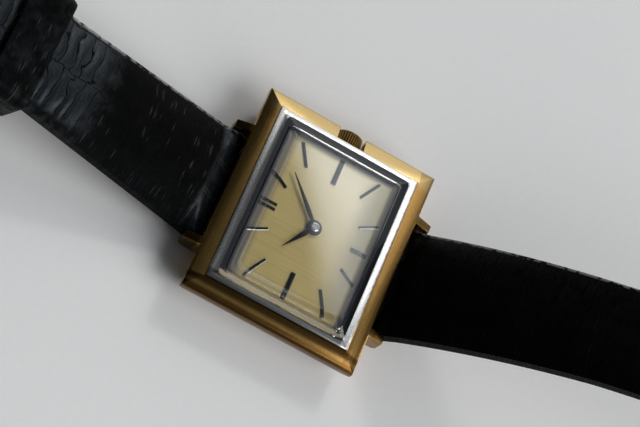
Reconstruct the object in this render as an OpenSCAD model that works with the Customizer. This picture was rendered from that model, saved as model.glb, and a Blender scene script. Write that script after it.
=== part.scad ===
// Rectangular hand-wound wristwatch: two-tone case with a sloped frame, box crystal,
// round movement, padded leather strap and pin buckle.
// +X points to 3 o'clock, +Y to 12 o'clock and +Z out of the dial.
// The origin is the centre of the flat case back.

/* [Case] */
// Width of the case across 3 and 9
case_w = 30; // [29:0.5:33]
// Length of the case across 12 and 6, without the lugs
case_l = 24.8; // [24.4:0.2:28]
// Height of the frame's outer edge above the case back
edge_z = 4.8; // [4.8:0.05:5.2]
// Height of the upright side wall under that edge
side_h = 1.1; // [0.8:0.1:1.4]
// Width of the sloped frame on the 3 and 9 sides
frame_w_x = 2.2; // [1.9:0.1:2.4]
// Width of the sloped frame on the 12 and 6 sides
frame_w_y = 2.1; // [1.9:0.1:2.3]
// Rise of the sloped frame from its edge to the ring
frame_rise = 0.72; // [0.6:0.02:0.9]
// Width of the small chamfer along the outer edge
edge_chamfer = 0.3; // [0.15:0.05:0.5]
// Distance that the lower body draws in
under_inset = 0.8; // [0.4:0.1:1]
// Wall between the movement pocket and the outside
pocket_wall = 2.4; // [2.2:0.1:2.4]
// Thickness of the ledge between dial and crystal
ledge_t = 0.35; // [0.3:0.05:0.45]

/* [Lugs] */
// Gap between the lugs, which is the strap's nominal width
lug_gap = 16; // [14:1:18]
// Thickness of a lug where it leaves the case
lug_t = 1.12; // [1:0.02:1.4]
// Thickness of a lug at its tip
lug_tip_t = 1; // [0.95:0.05:1.1]
// Reach of a lug past the case
lug_l = 2.2; // [2.2:0.1:3]
// Depth of a lug from the frame's edge to its underside
lug_depth = 3.5; // [3.3:0.1:3.6]
// Fall of a lug's top edge from case to tip
lug_drop = 0.78; // [0.5:0.02:1]
// Height of the spring bars above the case back
bar_z = 2.2; // [2.15:0.05:2.4]
// Radius of the spring bars
bar_r = 0.75; // [0.6:0.05:0.8]
// Radius of the spring bars' end pivots
bar_pivot_r = 0.4; // [0.3:0.05:0.45]

/* [Ring and crystal] */
// Height of the silver ring above the frame
ring_step = 0.35; // [0.25:0.05:0.5]
// Width of the ring's top on the 3 and 9 sides
ring_w_x = 0.8; // [0.6:0.05:1]
// Width of the ring's top on the 12 and 6 sides
ring_w_y = 1.1; // [0.9:0.05:1.2]
// Overhang of the ring's top over the frame
ring_lip = 0.35; // [0.2:0.05:0.45]
// Height of the crystal above the ring
crystal_rise = 1.25; // [1.2:0.05:1.6]
// Height of the crystal's upright side above the ring
crystal_side = 0.45; // [0.3:0.05:0.7]
// Width of the crystal's sloped border
crystal_border = 1.5; // [1:0.1:2]
// Thickness of the crystal's top
crystal_t = 1.15; // [1:0.05:1.2]
// Thickness of the crystal's side wall
crystal_wall = 1; // [0.8:0.05:1.1]
// Corner radius of the crystal
crystal_r = 0.7; // [0.3:0.1:0.9]

/* [Dial and hands] */
// Thickness of the dial
dial_t = 0.4; // [0.3:0.05:0.4]
// Length of the markers at 1, 5, 7 and 11
marker_l = 2.65; // [2:0.05:3]
// Space from the marker ends to the crystal opening
marker_edge = 0.5; // [0.3:0.05:0.8]
// Height of the applied markers
marker_h = 0.22; // [0.15:0.01:0.28]
// Width of a single marker
marker_w = 0.42; // [0.3:0.02:0.5]
// Width of the markers at 3, 6 and 9
marker_wide = 0.66; // [0.5:0.02:0.8]
// Gap between the twin markers at 12
marker_gap = 0.3; // [0.2:0.02:0.4]
// Length of the minute hand
minute_len = 7.6; // [6.5:0.1:7.8]
// Length of the hour hand
hour_len = 5.2; // [4:0.1:6]
// Width of the hands at the widest point
hand_w = 0.62; // [0.5:0.02:0.8]
// Angle of the minute hand past 12
minute_angle = 46; // [0:1:359]
// Angle of the hour hand past 12
hour_angle = 303.6; // [0:0.1:359.9]

/* [Movement] */
// Radius of the main plate
plate_r = 9.3; // [9.2:0.05:9.4]
// Height of the crown's axis above the case back
stem_z = 3; // [2.98:0.01:3.02]
// Radius of the crown
crown_r = 1.86; // [1.7:0.02:1.9]
// Length of the crown
crown_l = 1.4; // [1.2:0.1:1.8]
// Depth of the notch that the crown sits in
notch_depth = 1.2; // [1:0.05:1.3]
// Number of flutes round the crown
crown_flutes = 32; // [20:2:36]
// Travel of the crown when it is pulled out
crown_pull = 0.8; // [0.6:0.05:0.8]
// Inward travel of the clutch wheel meanwhile
clutch_shift = 0.45; // [0.35:0.05:0.45]

/* [Strap] */
// Width of the strap at the lugs
strap_w_lug = 15.6; // [15:0.1:15.8]
// Width of the strap at the buckle
strap_w_end = 13.8; // [12:0.2:14]
// Length over which the strap tapers
taper_l = 30; // [25:5:60]
// Length of the buckle half
strap_12_l = 75; // [72:1:80]
// Length of the tail half
strap_6_l = 115; // [105:5:120]
// Rise of the buckle half at the lugs, in degrees
strap_12_tilt = 17.4; // [10:0.1:25]
// Rise of the tail half at the lugs, in degrees
strap_6_tilt = 47; // [40:1:50]
// Straight length of the buckle half
strap_12_straight = 50; // [50:1:55]
// Radius of the tail half's curl
strap_6_curl = 98; // [90:2:120]
// Depth of the straps' underside below the line through the bar
strap_under = 1.15; // [1.1:0.05:1.2]
// Height of the straps' side edges above that line
strap_edge = 0.4; // [0.3:0.05:0.8]
// Height of the padded crown above that line
pad_h = 2.6; // [2.2:0.1:3]
// Height of the flat end above that line
end_h = 1.15; // [1.15:0.05:1.3]
// Distance from the bar to the top of the padding
pad_rise_l = 3.6; // [3:0.2:5]
// Length over which the padding falls away
pad_l = 45; // [35:5:60]
// Number of buckle holes
hole_count = 7; // [5:1:8]
// Spacing of the buckle holes
hole_pitch = 6; // [5:0.5:7]
// Radius of the buckle holes
hole_r = 0.9; // [0.8:0.05:1.2]

/* [Keepers and buckle] */
// Room that the keepers leave for the tail
tail_room = 2.4; // [2.3:0.1:2.8]
// Width of the free keeper
keeper_w = 6; // [5:0.5:7]
// Width of the fixed keeper
fixed_keeper_w = 5; // [4:0.5:6]
// Thickness of the keepers
keeper_t = 1.2; // [1:0.1:1.5]
// Distance from the lug bar to the free keeper
keeper_s = 28.7; // [28:0.1:32]
// Travel of the free keeper towards the watch
keeper_in = 2; // [1:1:4]
// Travel of the free keeper towards the buckle
keeper_out = 14; // [10:1:14]
// Distance from the lug bar to the fixed keeper
fixed_keeper_s = 62; // [60:0.5:64]
// Clear width inside the buckle frame
buckle_gap = 14.6; // [14.4:0.1:15]
// Length of the buckle from its bar to its front
buckle_l = 8.4; // [8:0.2:10]
// Radius of the buckle's front bar
buckle_r = 0.9; // [0.7:0.05:1.1]
// Width of the buckle's side arms
buckle_arm = 1.4; // [1.2:0.1:1.8]
// Radius of the buckle's bar
buckle_bar_r = 0.6; // [0.5:0.05:0.65]
// Width of the tongue
tongue_w = 1.6; // [1.2:0.1:1.8]

/* [Hidden] */
$fn = 48;
e = 0.02;
gold = "#b08d50";
silver = "#d8d8d6";
steel = "#a8abb0";
brass = "#c9a95a";
leather = "#202022";

// Running clearance of a pivot or shaft in its hole
run = 0.04;
// Clearance between neighbouring parts that may not touch
air = 0.05;

// Case levels and plan sizes
body_z = edge_z - 3.4;
wall_z = edge_z - side_h;
frame_top = edge_z + frame_rise;
ring_top = frame_top + ring_step;
dial_z = edge_z + 0.05;
seat_z = dial_z + ledge_t;
plate_top = dial_z - dial_t;
pocket = [case_w - 2 * pocket_wall, case_l - 2 * pocket_wall];
ring_out = [case_w - 2 * frame_w_x, case_l - 2 * frame_w_y];
ring_skirt = [ring_out[0] - 2 * ring_lip, ring_out[1] - 2 * ring_lip];
glass = [ring_out[0] - 2 * ring_w_x, ring_out[1] - 2 * ring_w_y];
opening = [glass[0] - 2 * crystal_wall, glass[1] - 2 * crystal_wall];
glass_top = ring_top + crystal_rise;
glass_under = glass_top - crystal_t;

// Case back levels
back_t = 0.7;
back_flare = 0.9;
lip_wall = 0.7;
lip_top = body_z + 0.8;
back_half = [case_w / 2 - under_inset - 0.5, case_l / 2 - under_inset - 0.4];

// Levels between the main plate and the bridges
plate_z = plate_top - 1.25;
bridge_top = plate_z - 1.15;
bridge_t = 0.6;
bridge_z = bridge_top - bridge_t;
bridge_r = plate_r - 0.4;
wheel_gap = 0.05;
under_wheel_t = 0.25;
under_wheel_z = bridge_z - wheel_gap - under_wheel_t;
recess_z = plate_z + 0.35;
motion_z = recess_z + 0.07;

// Radii of pivots, posts and jewels
pivot_r = 0.12;
jewel_r = 0.45;
jewel_t = 0.3;
post_r = 0.3;
screw_r = 0.25;
screw_head_r = 0.45;
screw_head_t = 0.25;
screw_bite = 0.28;

// Tooth counts of the train, the motion work and the winding work
barrel_n = 72;
centre_pinion_n = 12;
centre_n = 64;
third_pinion_n = 8;
third_n = 60;
fourth_pinion_n = 8;
fourth_n = 60;
escape_pinion_n = 6;
escape_n = 15;
cannon_n = 12;
minute_n = 36;
minute_pinion_n = 12;
hour_n = 48;
setting_n = 17;
crown_wheel_n = 25;
ratchet_n = 36;
winding_n = 18;

// Pitch radii and centre distances that follow from the counts and modules
function pitch_r(n, m) = n * m / 2;
barrel_m = 0.1097;
centre_m = 0.1;
third_m = 0.09;
fourth_m = 0.08;
cannon_m = 0.12;
barrel_d = pitch_r(barrel_n + centre_pinion_n, barrel_m);
third_d = pitch_r(centre_n + third_pinion_n, centre_m);
fourth_d = pitch_r(third_n + fourth_pinion_n, third_m);
escape_d = pitch_r(fourth_n + escape_pinion_n, fourth_m);
motion_d = pitch_r(cannon_n + minute_n, cannon_m);
hour_m = 2 * motion_d / (minute_pinion_n + hour_n);
setting_d = pitch_r(minute_n + setting_n, cannon_m);
escape_r = 1.5;
pallet_d = 1.9;
balance_d = 2.4;
balance_r = 3;

// Directions from one centre to the next, and the centres
barrel_dir = 65;
third_dir = 200;
fourth_dir = 265;
escape_dir = 350;
pallet_dir = 350;
balance_dir = 5;
motion_dir = 300;
function step(p, d, a) = [p[0] + d * cos(a), p[1] + d * sin(a)];
barrel_c = step([0, 0], barrel_d, barrel_dir);
third_c = step([0, 0], third_d, third_dir);
fourth_c = step(third_c, fourth_d, fourth_dir);
escape_c = step(fourth_c, escape_d, escape_dir);
pallet_c = step(escape_c, pallet_d, pallet_dir);
balance_c = step(pallet_c, balance_d, balance_dir);
minute_c = step([0, 0], motion_d, motion_dir);
setting_c = [minute_c[0] + sqrt(setting_d * setting_d - minute_c[1] * minute_c[1]), 0];

// Winding work along the stem, as distances from the centre of the movement
stem_tip_x = 3.5;
stem_block_x = 3.9;
square_x = 4.5;
clutch_x = 5;
clutch_l = 1.5;
clutch_r = 0.9;
yoke_groove_x = 5.5;
yoke_groove_w = 0.4;
pinion_x = clutch_x + clutch_l + 0.1;
pinion_l = 0.9;
pinion_r = 1.2;
groove_x = 7.78;
groove_w = 0.36;
boss_x = 8.3;
stem_r = 0.55;
groove_r = 0.3;
stem_out_r = 0.45;
contrate_r = 1.65;
crown_wheel_c = [pinion_x + pinion_l / 2 - contrate_r, 0];
ratchet_d = norm(crown_wheel_c - barrel_c);
ratchet_m = 2 * ratchet_d / (ratchet_n + crown_wheel_n);
ratchet_dir = atan2(barrel_c[1] - crown_wheel_c[1], barrel_c[0] - crown_wheel_c[0]);
lever_arm = 2.2;
lever_pin_r = 0.14;
lever_pin = [groove_x + groove_w / 2, -groove_r - lever_pin_r - 0.06];
lever_c = [lever_pin[0] + crown_pull / 2, lever_pin[1] - lever_arm];
yoke_arm = 2.5;
yoke_pin = [yoke_groove_x + yoke_groove_w / 2, -0.8];
yoke_c = [yoke_pin[0] - clutch_shift / 2, yoke_pin[1] - yoke_arm];
click_dir = 110;
click_c = step(barrel_c, 4.25, click_dir);
click_tip = step(barrel_c, pitch_r(ratchet_n, ratchet_m) + 0.02, click_dir - 26);

// Feet of the bridges, which also place the screws
barrel_feet = [[-1, 8], [7.4, 3.6], [8.05, -2.05]];
train_feet = [[-7.3, 2.5], [-7.2, -4], [-1.2, -7.6]];
cock_foot = [7.1, -3.9];
pallet_foot = [pallet_c[0], pallet_c[1] - 2.1];
foot_r = 0.6;
dial_feet = [[-6.2, 5.6], [-3.2, -7.4]];

// Crown place
crown_x = case_w / 2 - notch_depth + 0.08;
notch_r = crown_r + 0.1;
tube_r = 0.8;
tube_bore = stem_out_r + run;

// Lug and strap places
bar_y = case_l / 2 + lug_l / 2;
strap_12_turn = strap_12_tilt;
strap_12_curl = (strap_12_l - strap_12_straight) * 180 / (PI * strap_12_turn);
slot_w = tongue_w + 0.6;
loop_r = strap_under - 0.03;

// Path of a strap half from its lug bar: straight first, then an arc that bends down
function bend(s, l0, curl) = s <= l0 ? 0 : (s - l0) / curl * 180 / PI;
function path_a(s, tilt, l0, curl) = tilt - bend(s, l0, curl);
function path_y(s, tilt, l0, curl) = min(s, l0) * cos(tilt)
    + curl * (sin(tilt) - sin(path_a(s, tilt, l0, curl)));
function path_z(s, tilt, l0, curl) = min(s, l0) * sin(tilt)
    + curl * (cos(path_a(s, tilt, l0, curl)) - cos(tilt));
function strap_half_w(s) = s > taper_l ? strap_w_end / 2
    : strap_w_lug / 2 - (strap_w_lug - strap_w_end) / 2 * s / taper_l;
function strap_h(s) = s < pad_rise_l
    ? strap_under + (pad_h - strap_under) * sin(90 * s / pad_rise_l)
    : end_h + (pad_h - end_h) * pow(max(0, 1 - (s - pad_rise_l) / (pad_l - pad_rise_l)), 2);
tail_tip_l = 8;
function tail_w(s, l) = s < l - tail_tip_l ? strap_half_w(s)
    : strap_half_w(s) * sqrt(max(0.01, 1 - pow((s - l + tail_tip_l) / tail_tip_l, 2)));
buckle_y = bar_y + path_y(strap_12_l, strap_12_tilt, strap_12_straight, strap_12_curl);
buckle_z = bar_z + path_z(strap_12_l, strap_12_tilt, strap_12_straight, strap_12_curl);

// Teeth: a flat-topped tooth on each pitch, with more gap than tooth
function gear_pts(n, r, m, phase) = let (p = 360 / n, tip = r + 0.7 * m, root = r - 0.9 * m)
    [for (i = [0:n - 1]) for (q = [[root, -0.27], [tip, -0.11], [tip, 0.11], [root, 0.27]])
        [q[0] * cos(phase + p * (i + q[1])), q[0] * sin(phase + p * (i + q[1]))]];

module gear(n, m, t, phase = 0) {
    linear_extrude(t) polygon(gear_pts(n, pitch_r(n, m), m, phase));
}

module at(p, z) {
    translate([p[0], p[1], z]) children();
}

module block(x0, x1, y0, y1, z0, z1) {
    translate([x0, y0, z0]) cube([x1 - x0, y1 - y0, z1 - z0]);
}

module centred_block(size, z0, z1) {
    block(-size[0] / 2, size[0] / 2, -size[1] / 2, size[1] / 2, z0, z1);
}

// A profile of half widths at heights, run along one axis
module profile_bar(half, length) {
    pts = concat([for (p = half) [p[0], p[1]]],
        [for (i = [len(half) - 1:-1:0]) [-half[i][0], half[i][1]]]);
    rotate([90, 0, 0]) translate([0, 0, -length / 2]) linear_extrude(length) polygon(pts);
}

// A body whose four sides all follow the same profile, mitred at the corners
module mitred(half_x, half_y) {
    span = 2 * max(case_w, case_l);
    intersection() {
        profile_bar(half_x, span);
        rotate([0, 0, 90]) profile_bar(half_y, span);
    }
}

module rounded_plan(size, r, z0, z1) {
    centred_block([size[0] - 2 * r, size[1]], z0, z1);
    centred_block([size[0], size[1] - 2 * r], z0, z1);
    for (sx = [-1, 1], sy = [-1, 1])
        at([sx * (size[0] / 2 - r), sy * (size[1] / 2 - r)], z0) cylinder(h = z1 - z0, r = r);
}

// Heights and half widths of the case's outside, for one pair of sides
function case_profile(half, ring_half) = [
    [half - under_inset, body_z],
    [half, wall_z],
    [half, edge_z - 0.1],
    [half - edge_chamfer, edge_z + 0.1],
    [ring_half, frame_top]];

module lug(sx, sy) {
    y0 = case_l / 2 - under_inset + 0.1;
    y1 = case_l / 2 + lug_l;
    z0 = edge_z - lug_depth;
    z1 = edge_z - lug_drop;
    side = [[y0, z0], [y1 - 0.4, z0], [y1, z0 + 0.4], [y1, z1], [case_l / 2 - 0.15, edge_z],
        [y0, edge_z - 0.1]];
    plan = [[lug_gap / 2, y0], [lug_gap / 2, y1], [lug_gap / 2 + lug_tip_t, y1],
        [lug_gap / 2 + lug_t, case_l / 2], [lug_gap / 2 + lug_t, y0]];
    mirror([sx < 0 ? 1 : 0, 0, 0]) mirror([0, sy < 0 ? 1 : 0, 0]) difference() {
        intersection() {
            translate([lug_gap / 2, 0, 0]) rotate([90, 0, 90]) linear_extrude(lug_t) polygon(side);
            translate([0, 0, z0 - 1]) linear_extrude(lug_depth + 2) polygon(plan);
        }
        translate([lug_gap / 2 - e, bar_y, bar_z]) rotate([0, 90, 0])
            cylinder(h = 0.75 + e, r = bar_pivot_r + run);
    }
}

module case_body() {
    color(gold) difference() {
        union() {
            difference() {
                mitred(case_profile(case_w / 2, ring_out[0] / 2),
                    case_profile(case_l / 2, ring_out[1] / 2));
                centred_block(pocket, body_z - 1, dial_z);
                centred_block(opening, dial_z - 1, seat_z + 1);
                centred_block(ring_skirt, seat_z, frame_top + 1);
            }
            for (sx = [-1, 1], sy = [-1, 1]) lug(sx, sy);
        }
        crown_notch();
        translate([pocket[0] / 2 - 1, 0, stem_z]) rotate([0, 90, 0])
            cylinder(h = pocket_wall + 2, r = tube_r);
    }
}

module crown_notch() {
    x = case_w / 2 - notch_depth;
    translate([x, 0, stem_z]) rotate([0, 90, 0]) cylinder(h = notch_depth + 1, r = notch_r);
    block(x, case_w / 2 + 1, -notch_r, notch_r, stem_z, frame_top + 1);
}

module inner_bezel() {
    color(silver) difference() {
        union() {
            centred_block(ring_skirt, seat_z, frame_top);
            centred_block(ring_out, frame_top, ring_top);
        }
        rounded_plan(glass, crystal_r, seat_z - 1, ring_top + 1);
    }
}

// The crystal rises upright from the ring, slopes in over its border and ends in a flat top
module crystal() {
    side_top = ring_top + crystal_side;
    mid = [crystal_border * 0.3, (glass_top - side_top) * 0.62];
    function border(half) = [[half, seat_z], [half, side_top],
        [half - mid[0], side_top + mid[1]], [half - crystal_border, glass_top]];
    color("#e8f0f4", 0.4) difference() {
        intersection() {
            mitred(border(glass[0] / 2), border(glass[1] / 2));
            rounded_plan(glass, crystal_r, seat_z, glass_top);
        }
        rounded_plan(opening, crystal_r * 0.6, seat_z - 1, glass_under);
    }
}

module case_back() {
    lip = [pocket[0] - 0.06, pocket[1] - 0.06];
    inside = [lip[0] - 2 * lip_wall, lip[1] - 2 * lip_wall];
    function tray(half) = [[half - back_flare, 0], [half - 0.4, 0.45], [half, 0.95], [half, body_z]];
    color(steel) difference() {
        union() {
            mitred(tray(back_half[0]), tray(back_half[1]));
            centred_block(lip, body_z - e, lip_top);
        }
        centred_block(inside, back_t, lip_top + 1);
        // Notch that a case knife lifts
        block(-1.5, 1.5, -back_half[1] - 1, -back_half[1] + 0.35, body_z - 0.25, body_z + 0.01);
    }
}

module crown_tube() {
    x0 = pocket[0] / 2;
    x1 = case_w / 2 - notch_depth;
    color(brass) translate([x0, 0, stem_z]) rotate([0, 90, 0]) difference() {
        cylinder(h = x1 - x0, r = tube_r);
        translate([0, 0, -1]) cylinder(h = x1 - x0 + 2, r = tube_bore);
    }
}

module movement_holder() {
    size = [pocket[0] - 0.2, pocket[1] - 0.2];
    color("#8f9297") difference() {
        centred_block(size, lip_top, plate_top);
        at([0, 0], lip_top - 1) cylinder(h = plate_top, r = plate_r + 0.03);
        block(0, size[0], -tube_r, tube_r, lip_top - 1, stem_z + stem_r + 0.2);
    }
}

module dial() {
    size = [pocket[0] - 0.3, pocket[1] - 0.3];
    color("#d8d2b4") {
        difference() {
            centred_block(size, plate_top, dial_z);
            at([0, 0], plate_top - 1) cylinder(h = 3, r = pipe_r + 0.1);
        }
        for (p = dial_feet) at(p, plate_top - 0.8) cylinder(h = 0.8, r = 0.35);
    }
}

// Markers as hour, inner radius, outer radius, width and sideways place
function marker_row(hours, outer, long, w, side = 0) =
    [for (h = hours) [h, outer - long, outer, w, side]];
long_reach = opening[0] / 2;
short_reach = opening[1] / 2;
marker_rows = concat(
    marker_row([1, 5, 7, 11], (short_reach - marker_edge) / sin(60), marker_l, marker_w),
    marker_row([2, 4, 8, 10], (long_reach - 2 * marker_edge) / cos(30), 1.3 * marker_l, marker_w),
    marker_row([3, 9], long_reach - marker_edge, 1.4 * marker_l, marker_wide),
    marker_row([6], short_reach - marker_edge, 0.8 * marker_l, marker_wide),
    [for (s = [-1, 1]) each marker_row([12], short_reach - marker_edge, 0.8 * marker_l,
        marker_w, s * (marker_w + marker_gap) / 2)]);

module hour_markers() {
    color("#b9b9b4") for (m = marker_rows)
        rotate([0, 0, 90 - 30 * m[0]]) translate([m[1], m[4], dial_z])
            rotate([90, 0, 90]) linear_extrude(m[2] - m[1])
                polygon([[-m[3] / 2, 0], [m[3] / 2, 0], [m[3] / 2, marker_h * 0.6],
                    [m[3] / 4, marker_h], [-m[3] / 4, marker_h], [-m[3] / 2, marker_h * 0.6]]);
}

jewelled = [third_c, fourth_c, escape_c, pallet_c, balance_c];

module main_plate() {
    z1 = plate_top;
    hour_r = pitch_r(hour_n, hour_m) + 0.3;
    minute_r = pitch_r(minute_n, cannon_m) + 0.3;
    setting_r = pitch_r(setting_n, cannon_m) + 0.3;
    slot_half = pinion_r + 0.2;
    color(brass) {
        difference() {
            union() {
                cylinder_between(plate_r, plate_z, z1);
                block(boss_x, plate_r - 0.2, -1.1, 1.1, stem_z - 0.85, plate_z + e);
                block(stem_block_x, stem_block_x + 0.55, -0.6, 0.6, stem_z - 0.5, plate_z + e);
            }
            at([0, 0], recess_z) cylinder(h = 2, r = hour_r);
            at(minute_c, recess_z) cylinder(h = 2, r = minute_r);
            at(setting_c, recess_z) cylinder(h = 2, r = setting_r);
            // Recess of the setting lever and the yoke
            block(4.6, boss_x + 0.9, yoke_c[1] - 0.75, -slot_half + 0.3, recess_z, z1 + 1);
            block(groove_x - 0.3, boss_x + 0.9, -slot_half + 0.2, -0.25, stem_z - 0.35, z1 + 1);
            // Slot of the clutch and the winding pinion
            block(square_x - 0.04, boss_x, -slot_half, slot_half, plate_z - 1, z1 + 1);
            translate([stem_block_x - 1, 0, stem_z]) rotate([0, 90, 0])
                cylinder(h = 2, r = 0.25 + run);
            translate([boss_x - 1, 0, stem_z]) rotate([0, 90, 0])
                cylinder(h = 4, r = stem_r + run);
            at([0, 0], plate_z - 1) cylinder(h = 3, r = 0.32 + run);
            at(barrel_c, plate_z - 1) cylinder(h = 1.4, r = 0.4 + run);
            for (p = jewelled) at(p, plate_z - e) cylinder(h = jewel_t + e, r = jewel_r);
            for (p = jewelled) at(p, plate_z) cylinder(h = 0.6, r = pivot_r + run);
            for (p = concat(barrel_feet, train_feet, [cock_foot, pallet_foot]))
                at(p, plate_z - e) cylinder(h = screw_bite + e, r = screw_r);
            for (p = dial_feet) at(p, z1 - 0.8) cylinder(h = 1, r = 0.35);
        }
        for (p = [minute_c, setting_c]) at(p, recess_z - e) cylinder(h = 0.6 + e, r = post_r);
        for (p = [lever_c, yoke_c]) at(p, recess_z - e) cylinder(h = 0.4 + e, r = post_r);
    }
}

module cylinder_between(r, z0, z1) {
    translate([0, 0, z0]) cylinder(h = z1 - z0, r = r);
}

module bridge_feet(list, r = foot_r) {
    for (p = list) at(p, bridge_top - e) cylinder(h = plate_z - bridge_top + e, r = r);
}

module screw_holes(list) {
    for (p = list) at(p, bridge_z - 1) cylinder(h = 4, r = screw_r);
}

module barrel_bridge() {
    color("#d9b46a") difference() {
        union() {
            intersection() {
                cylinder_between(bridge_r, bridge_z, bridge_top);
                block(-1.6, 10, -2.6, 10, bridge_z - 1, bridge_top + 1);
            }
            bridge_feet(barrel_feet, foot_r - 0.1);
            at(crown_wheel_c, under_wheel_z) cylinder(h = 0.5, r = 0.9);
        }
        at([0, 0], bridge_z - 1) cylinder(h = 3, r = 0.3 + run);
        at(barrel_c, bridge_z - 1) cylinder(h = 3, r = 0.5 + run);
        // Groove in which the crown wheel's upright teeth run
        at(crown_wheel_c, bridge_z - e) difference() {
            cylinder(h = 0.42, r = contrate_r + 0.3);
            translate([0, 0, -1]) cylinder(h = 2, r = contrate_r - 0.35);
        }
        block(pinion_x - 0.1, pinion_x + pinion_l + 0.1, -pinion_r - 0.15, pinion_r + 0.15,
            bridge_z + 0.2, bridge_top + 1);
        at(crown_wheel_c, under_wheel_z - 1) cylinder(h = 1.4, r = 0.3);
        at(click_c, bridge_z - e) cylinder(h = 0.4, r = post_r);
        screw_holes(barrel_feet);
    }
}

module train_bridge() {
    color("#d9b46a") difference() {
        union() {
            intersection() {
                cylinder_between(bridge_r, bridge_z, bridge_top);
                union() {
                    block(-10, -1.75, -10, 10, bridge_z - 1, bridge_top + 1);
                    block(-10, -0.1, -10, -2.75, bridge_z - 1, bridge_top + 1);
                }
            }
            bridge_feet(train_feet);
        }
        for (p = [third_c, fourth_c, escape_c]) at(p, bridge_z - 1) cylinder(h = 3, r = jewel_r);
        screw_holes(train_feet);
    }
}

pallet_bridge_z = bridge_top + 0.55;
pallet_bridge_t = 0.15;

module pallet_bridge() {
    color("#d9b46a") difference() {
        union() {
            at(pallet_c, pallet_bridge_z) cylinder(h = pallet_bridge_t, r = 0.65);
            block(pallet_c[0] - 0.55, pallet_c[0] + 0.55, pallet_foot[1], pallet_c[1],
                pallet_bridge_z, pallet_bridge_z + pallet_bridge_t);
            at(pallet_foot, pallet_bridge_z) cylinder(h = plate_z - pallet_bridge_z, r = 0.55);
        }
        at(pallet_c, pallet_bridge_z - 1) cylinder(h = 2, r = jewel_r);
        at(pallet_foot, pallet_bridge_z - 1) cylinder(h = 3, r = screw_r);
    }
}

module balance_cock() {
    reach = cock_foot - balance_c;
    color("#d9b46a") difference() {
        union() {
            at(balance_c, bridge_z) cylinder(h = bridge_t, r = 1.15);
            at(cock_foot, bridge_z) cylinder(h = bridge_t, r = 0.95);
            at(balance_c, bridge_z) rotate([0, 0, atan2(reach[1], reach[0])])
                translate([0, -0.8, 0]) cube([norm(reach), 1.6, bridge_t]);
            bridge_feet([cock_foot], 0.7);
        }
        at(balance_c, bridge_z - 1) cylinder(h = 3, r = jewel_r);
        screw_holes([cock_foot]);
    }
}

module slotted_screw(p, head_z, top_z, head_t = screw_head_t) {
    at(p, 0) difference() {
        union() {
            cylinder_between(screw_head_r, head_z, head_z + head_t);
            cylinder_between(screw_r, head_z + head_t - e, top_z);
        }
        block(-1, 1, -0.06, 0.06, head_z - 1, head_z + 0.08);
    }
}

module bridge_screws() {
    color("#5a6fa8") {
        for (p = concat(barrel_feet, train_feet, [cock_foot]))
            slotted_screw(p, bridge_z - screw_head_t, plate_z + screw_bite);
        slotted_screw(pallet_foot, pallet_bridge_z - 0.12, plate_z + screw_bite, 0.12);
        at(crown_wheel_c, 0) {
            cylinder_between(1.2, under_wheel_z - 0.2, under_wheel_z);
            cylinder_between(0.3, under_wheel_z - e, under_wheel_z + 0.4);
        }
    }
}

module jewel(p, z, t = jewel_t) {
    at(p, z) difference() {
        cylinder(h = t, r = jewel_r);
        translate([0, 0, -1]) cylinder(h = t + 2, r = pivot_r + run);
    }
}

module bearing_jewels() {
    color("#b03050") {
        for (p = jewelled) jewel(p, plate_z);
        for (p = [third_c, fourth_c, escape_c, balance_c]) jewel(p, bridge_top - jewel_t);
        jewel(pallet_c, pallet_bridge_z, pallet_bridge_t);
    }
}

// Barrel drum with its teeth, closed by its own lid
barrel_z = bridge_top + 0.07;
barrel_h = 0.8;
drum_r = pitch_r(barrel_n, barrel_m) - 0.2;

module mainspring_barrel() {
    color(brass) at(barrel_c, barrel_z) difference() {
        union() {
            cylinder(h = barrel_h, r = drum_r);
            gear(barrel_n, barrel_m, 0.18, barrel_dir + 180);
        }
        translate([0, 0, 0.1]) cylinder(h = barrel_h - 0.2, r = drum_r - 0.25);
        translate([0, 0, -1]) cylinder(h = 3, r = 0.5 + run);
    }
}

// A flat spiral strip of constant thickness
function spiral_pts(r0, r1, turns, per_turn, t) = let (n = turns * per_turn)
    concat([for (i = [0:n]) let (r = r0 + (r1 - r0) * i / n, a = 360 * i / per_turn)
            [(r + t / 2) * cos(a), (r + t / 2) * sin(a)]],
        [for (i = [n:-1:0]) let (r = r0 + (r1 - r0) * i / n, a = 360 * i / per_turn)
            [(r - t / 2) * cos(a), (r - t / 2) * sin(a)]]);

module mainspring() {
    color(steel) at(barrel_c, barrel_z + 0.15)
        linear_extrude(barrel_h - 0.3) polygon(spiral_pts(1, drum_r - 0.35, 6, 20, 0.1));
}

module barrel_arbor() {
    color(steel) at(barrel_c, 0) {
        cylinder_between(0.5, under_wheel_z, plate_z - 0.05);
        cylinder_between(0.88, barrel_z + 0.15, barrel_z + barrel_h - 0.15);
        cylinder_between(0.4, plate_z - 0.06, plate_z + 0.3);
    }
}

module ratchet_wheel() {
    color(steel) at(barrel_c, under_wheel_z) difference() {
        gear(ratchet_n, ratchet_m, under_wheel_t, ratchet_dir + 180 + 180 / ratchet_n);
        translate([0, 0, -1]) cylinder(h = 2, r = 0.5);
    }
}

module crown_wheel() {
    color(steel) at(crown_wheel_c, under_wheel_z) difference() {
        union() {
            gear(crown_wheel_n, ratchet_m, under_wheel_t, ratchet_dir);
            cylinder(h = under_wheel_t + 0.22, r = contrate_r + 0.2);
            for (i = [0:crown_wheel_n - 1]) rotate([0, 0, (i + 0.5) * 360 / crown_wheel_n])
                translate([contrate_r - 0.15, -0.07, under_wheel_t])
                    cube([0.3, 0.14, 0.4]);
        }
        translate([0, 0, -1]) cylinder(h = 3, r = 0.9 + run);
        translate([0, 0, under_wheel_t]) cylinder(h = 3, r = contrate_r - 0.2);
    }
}

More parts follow.
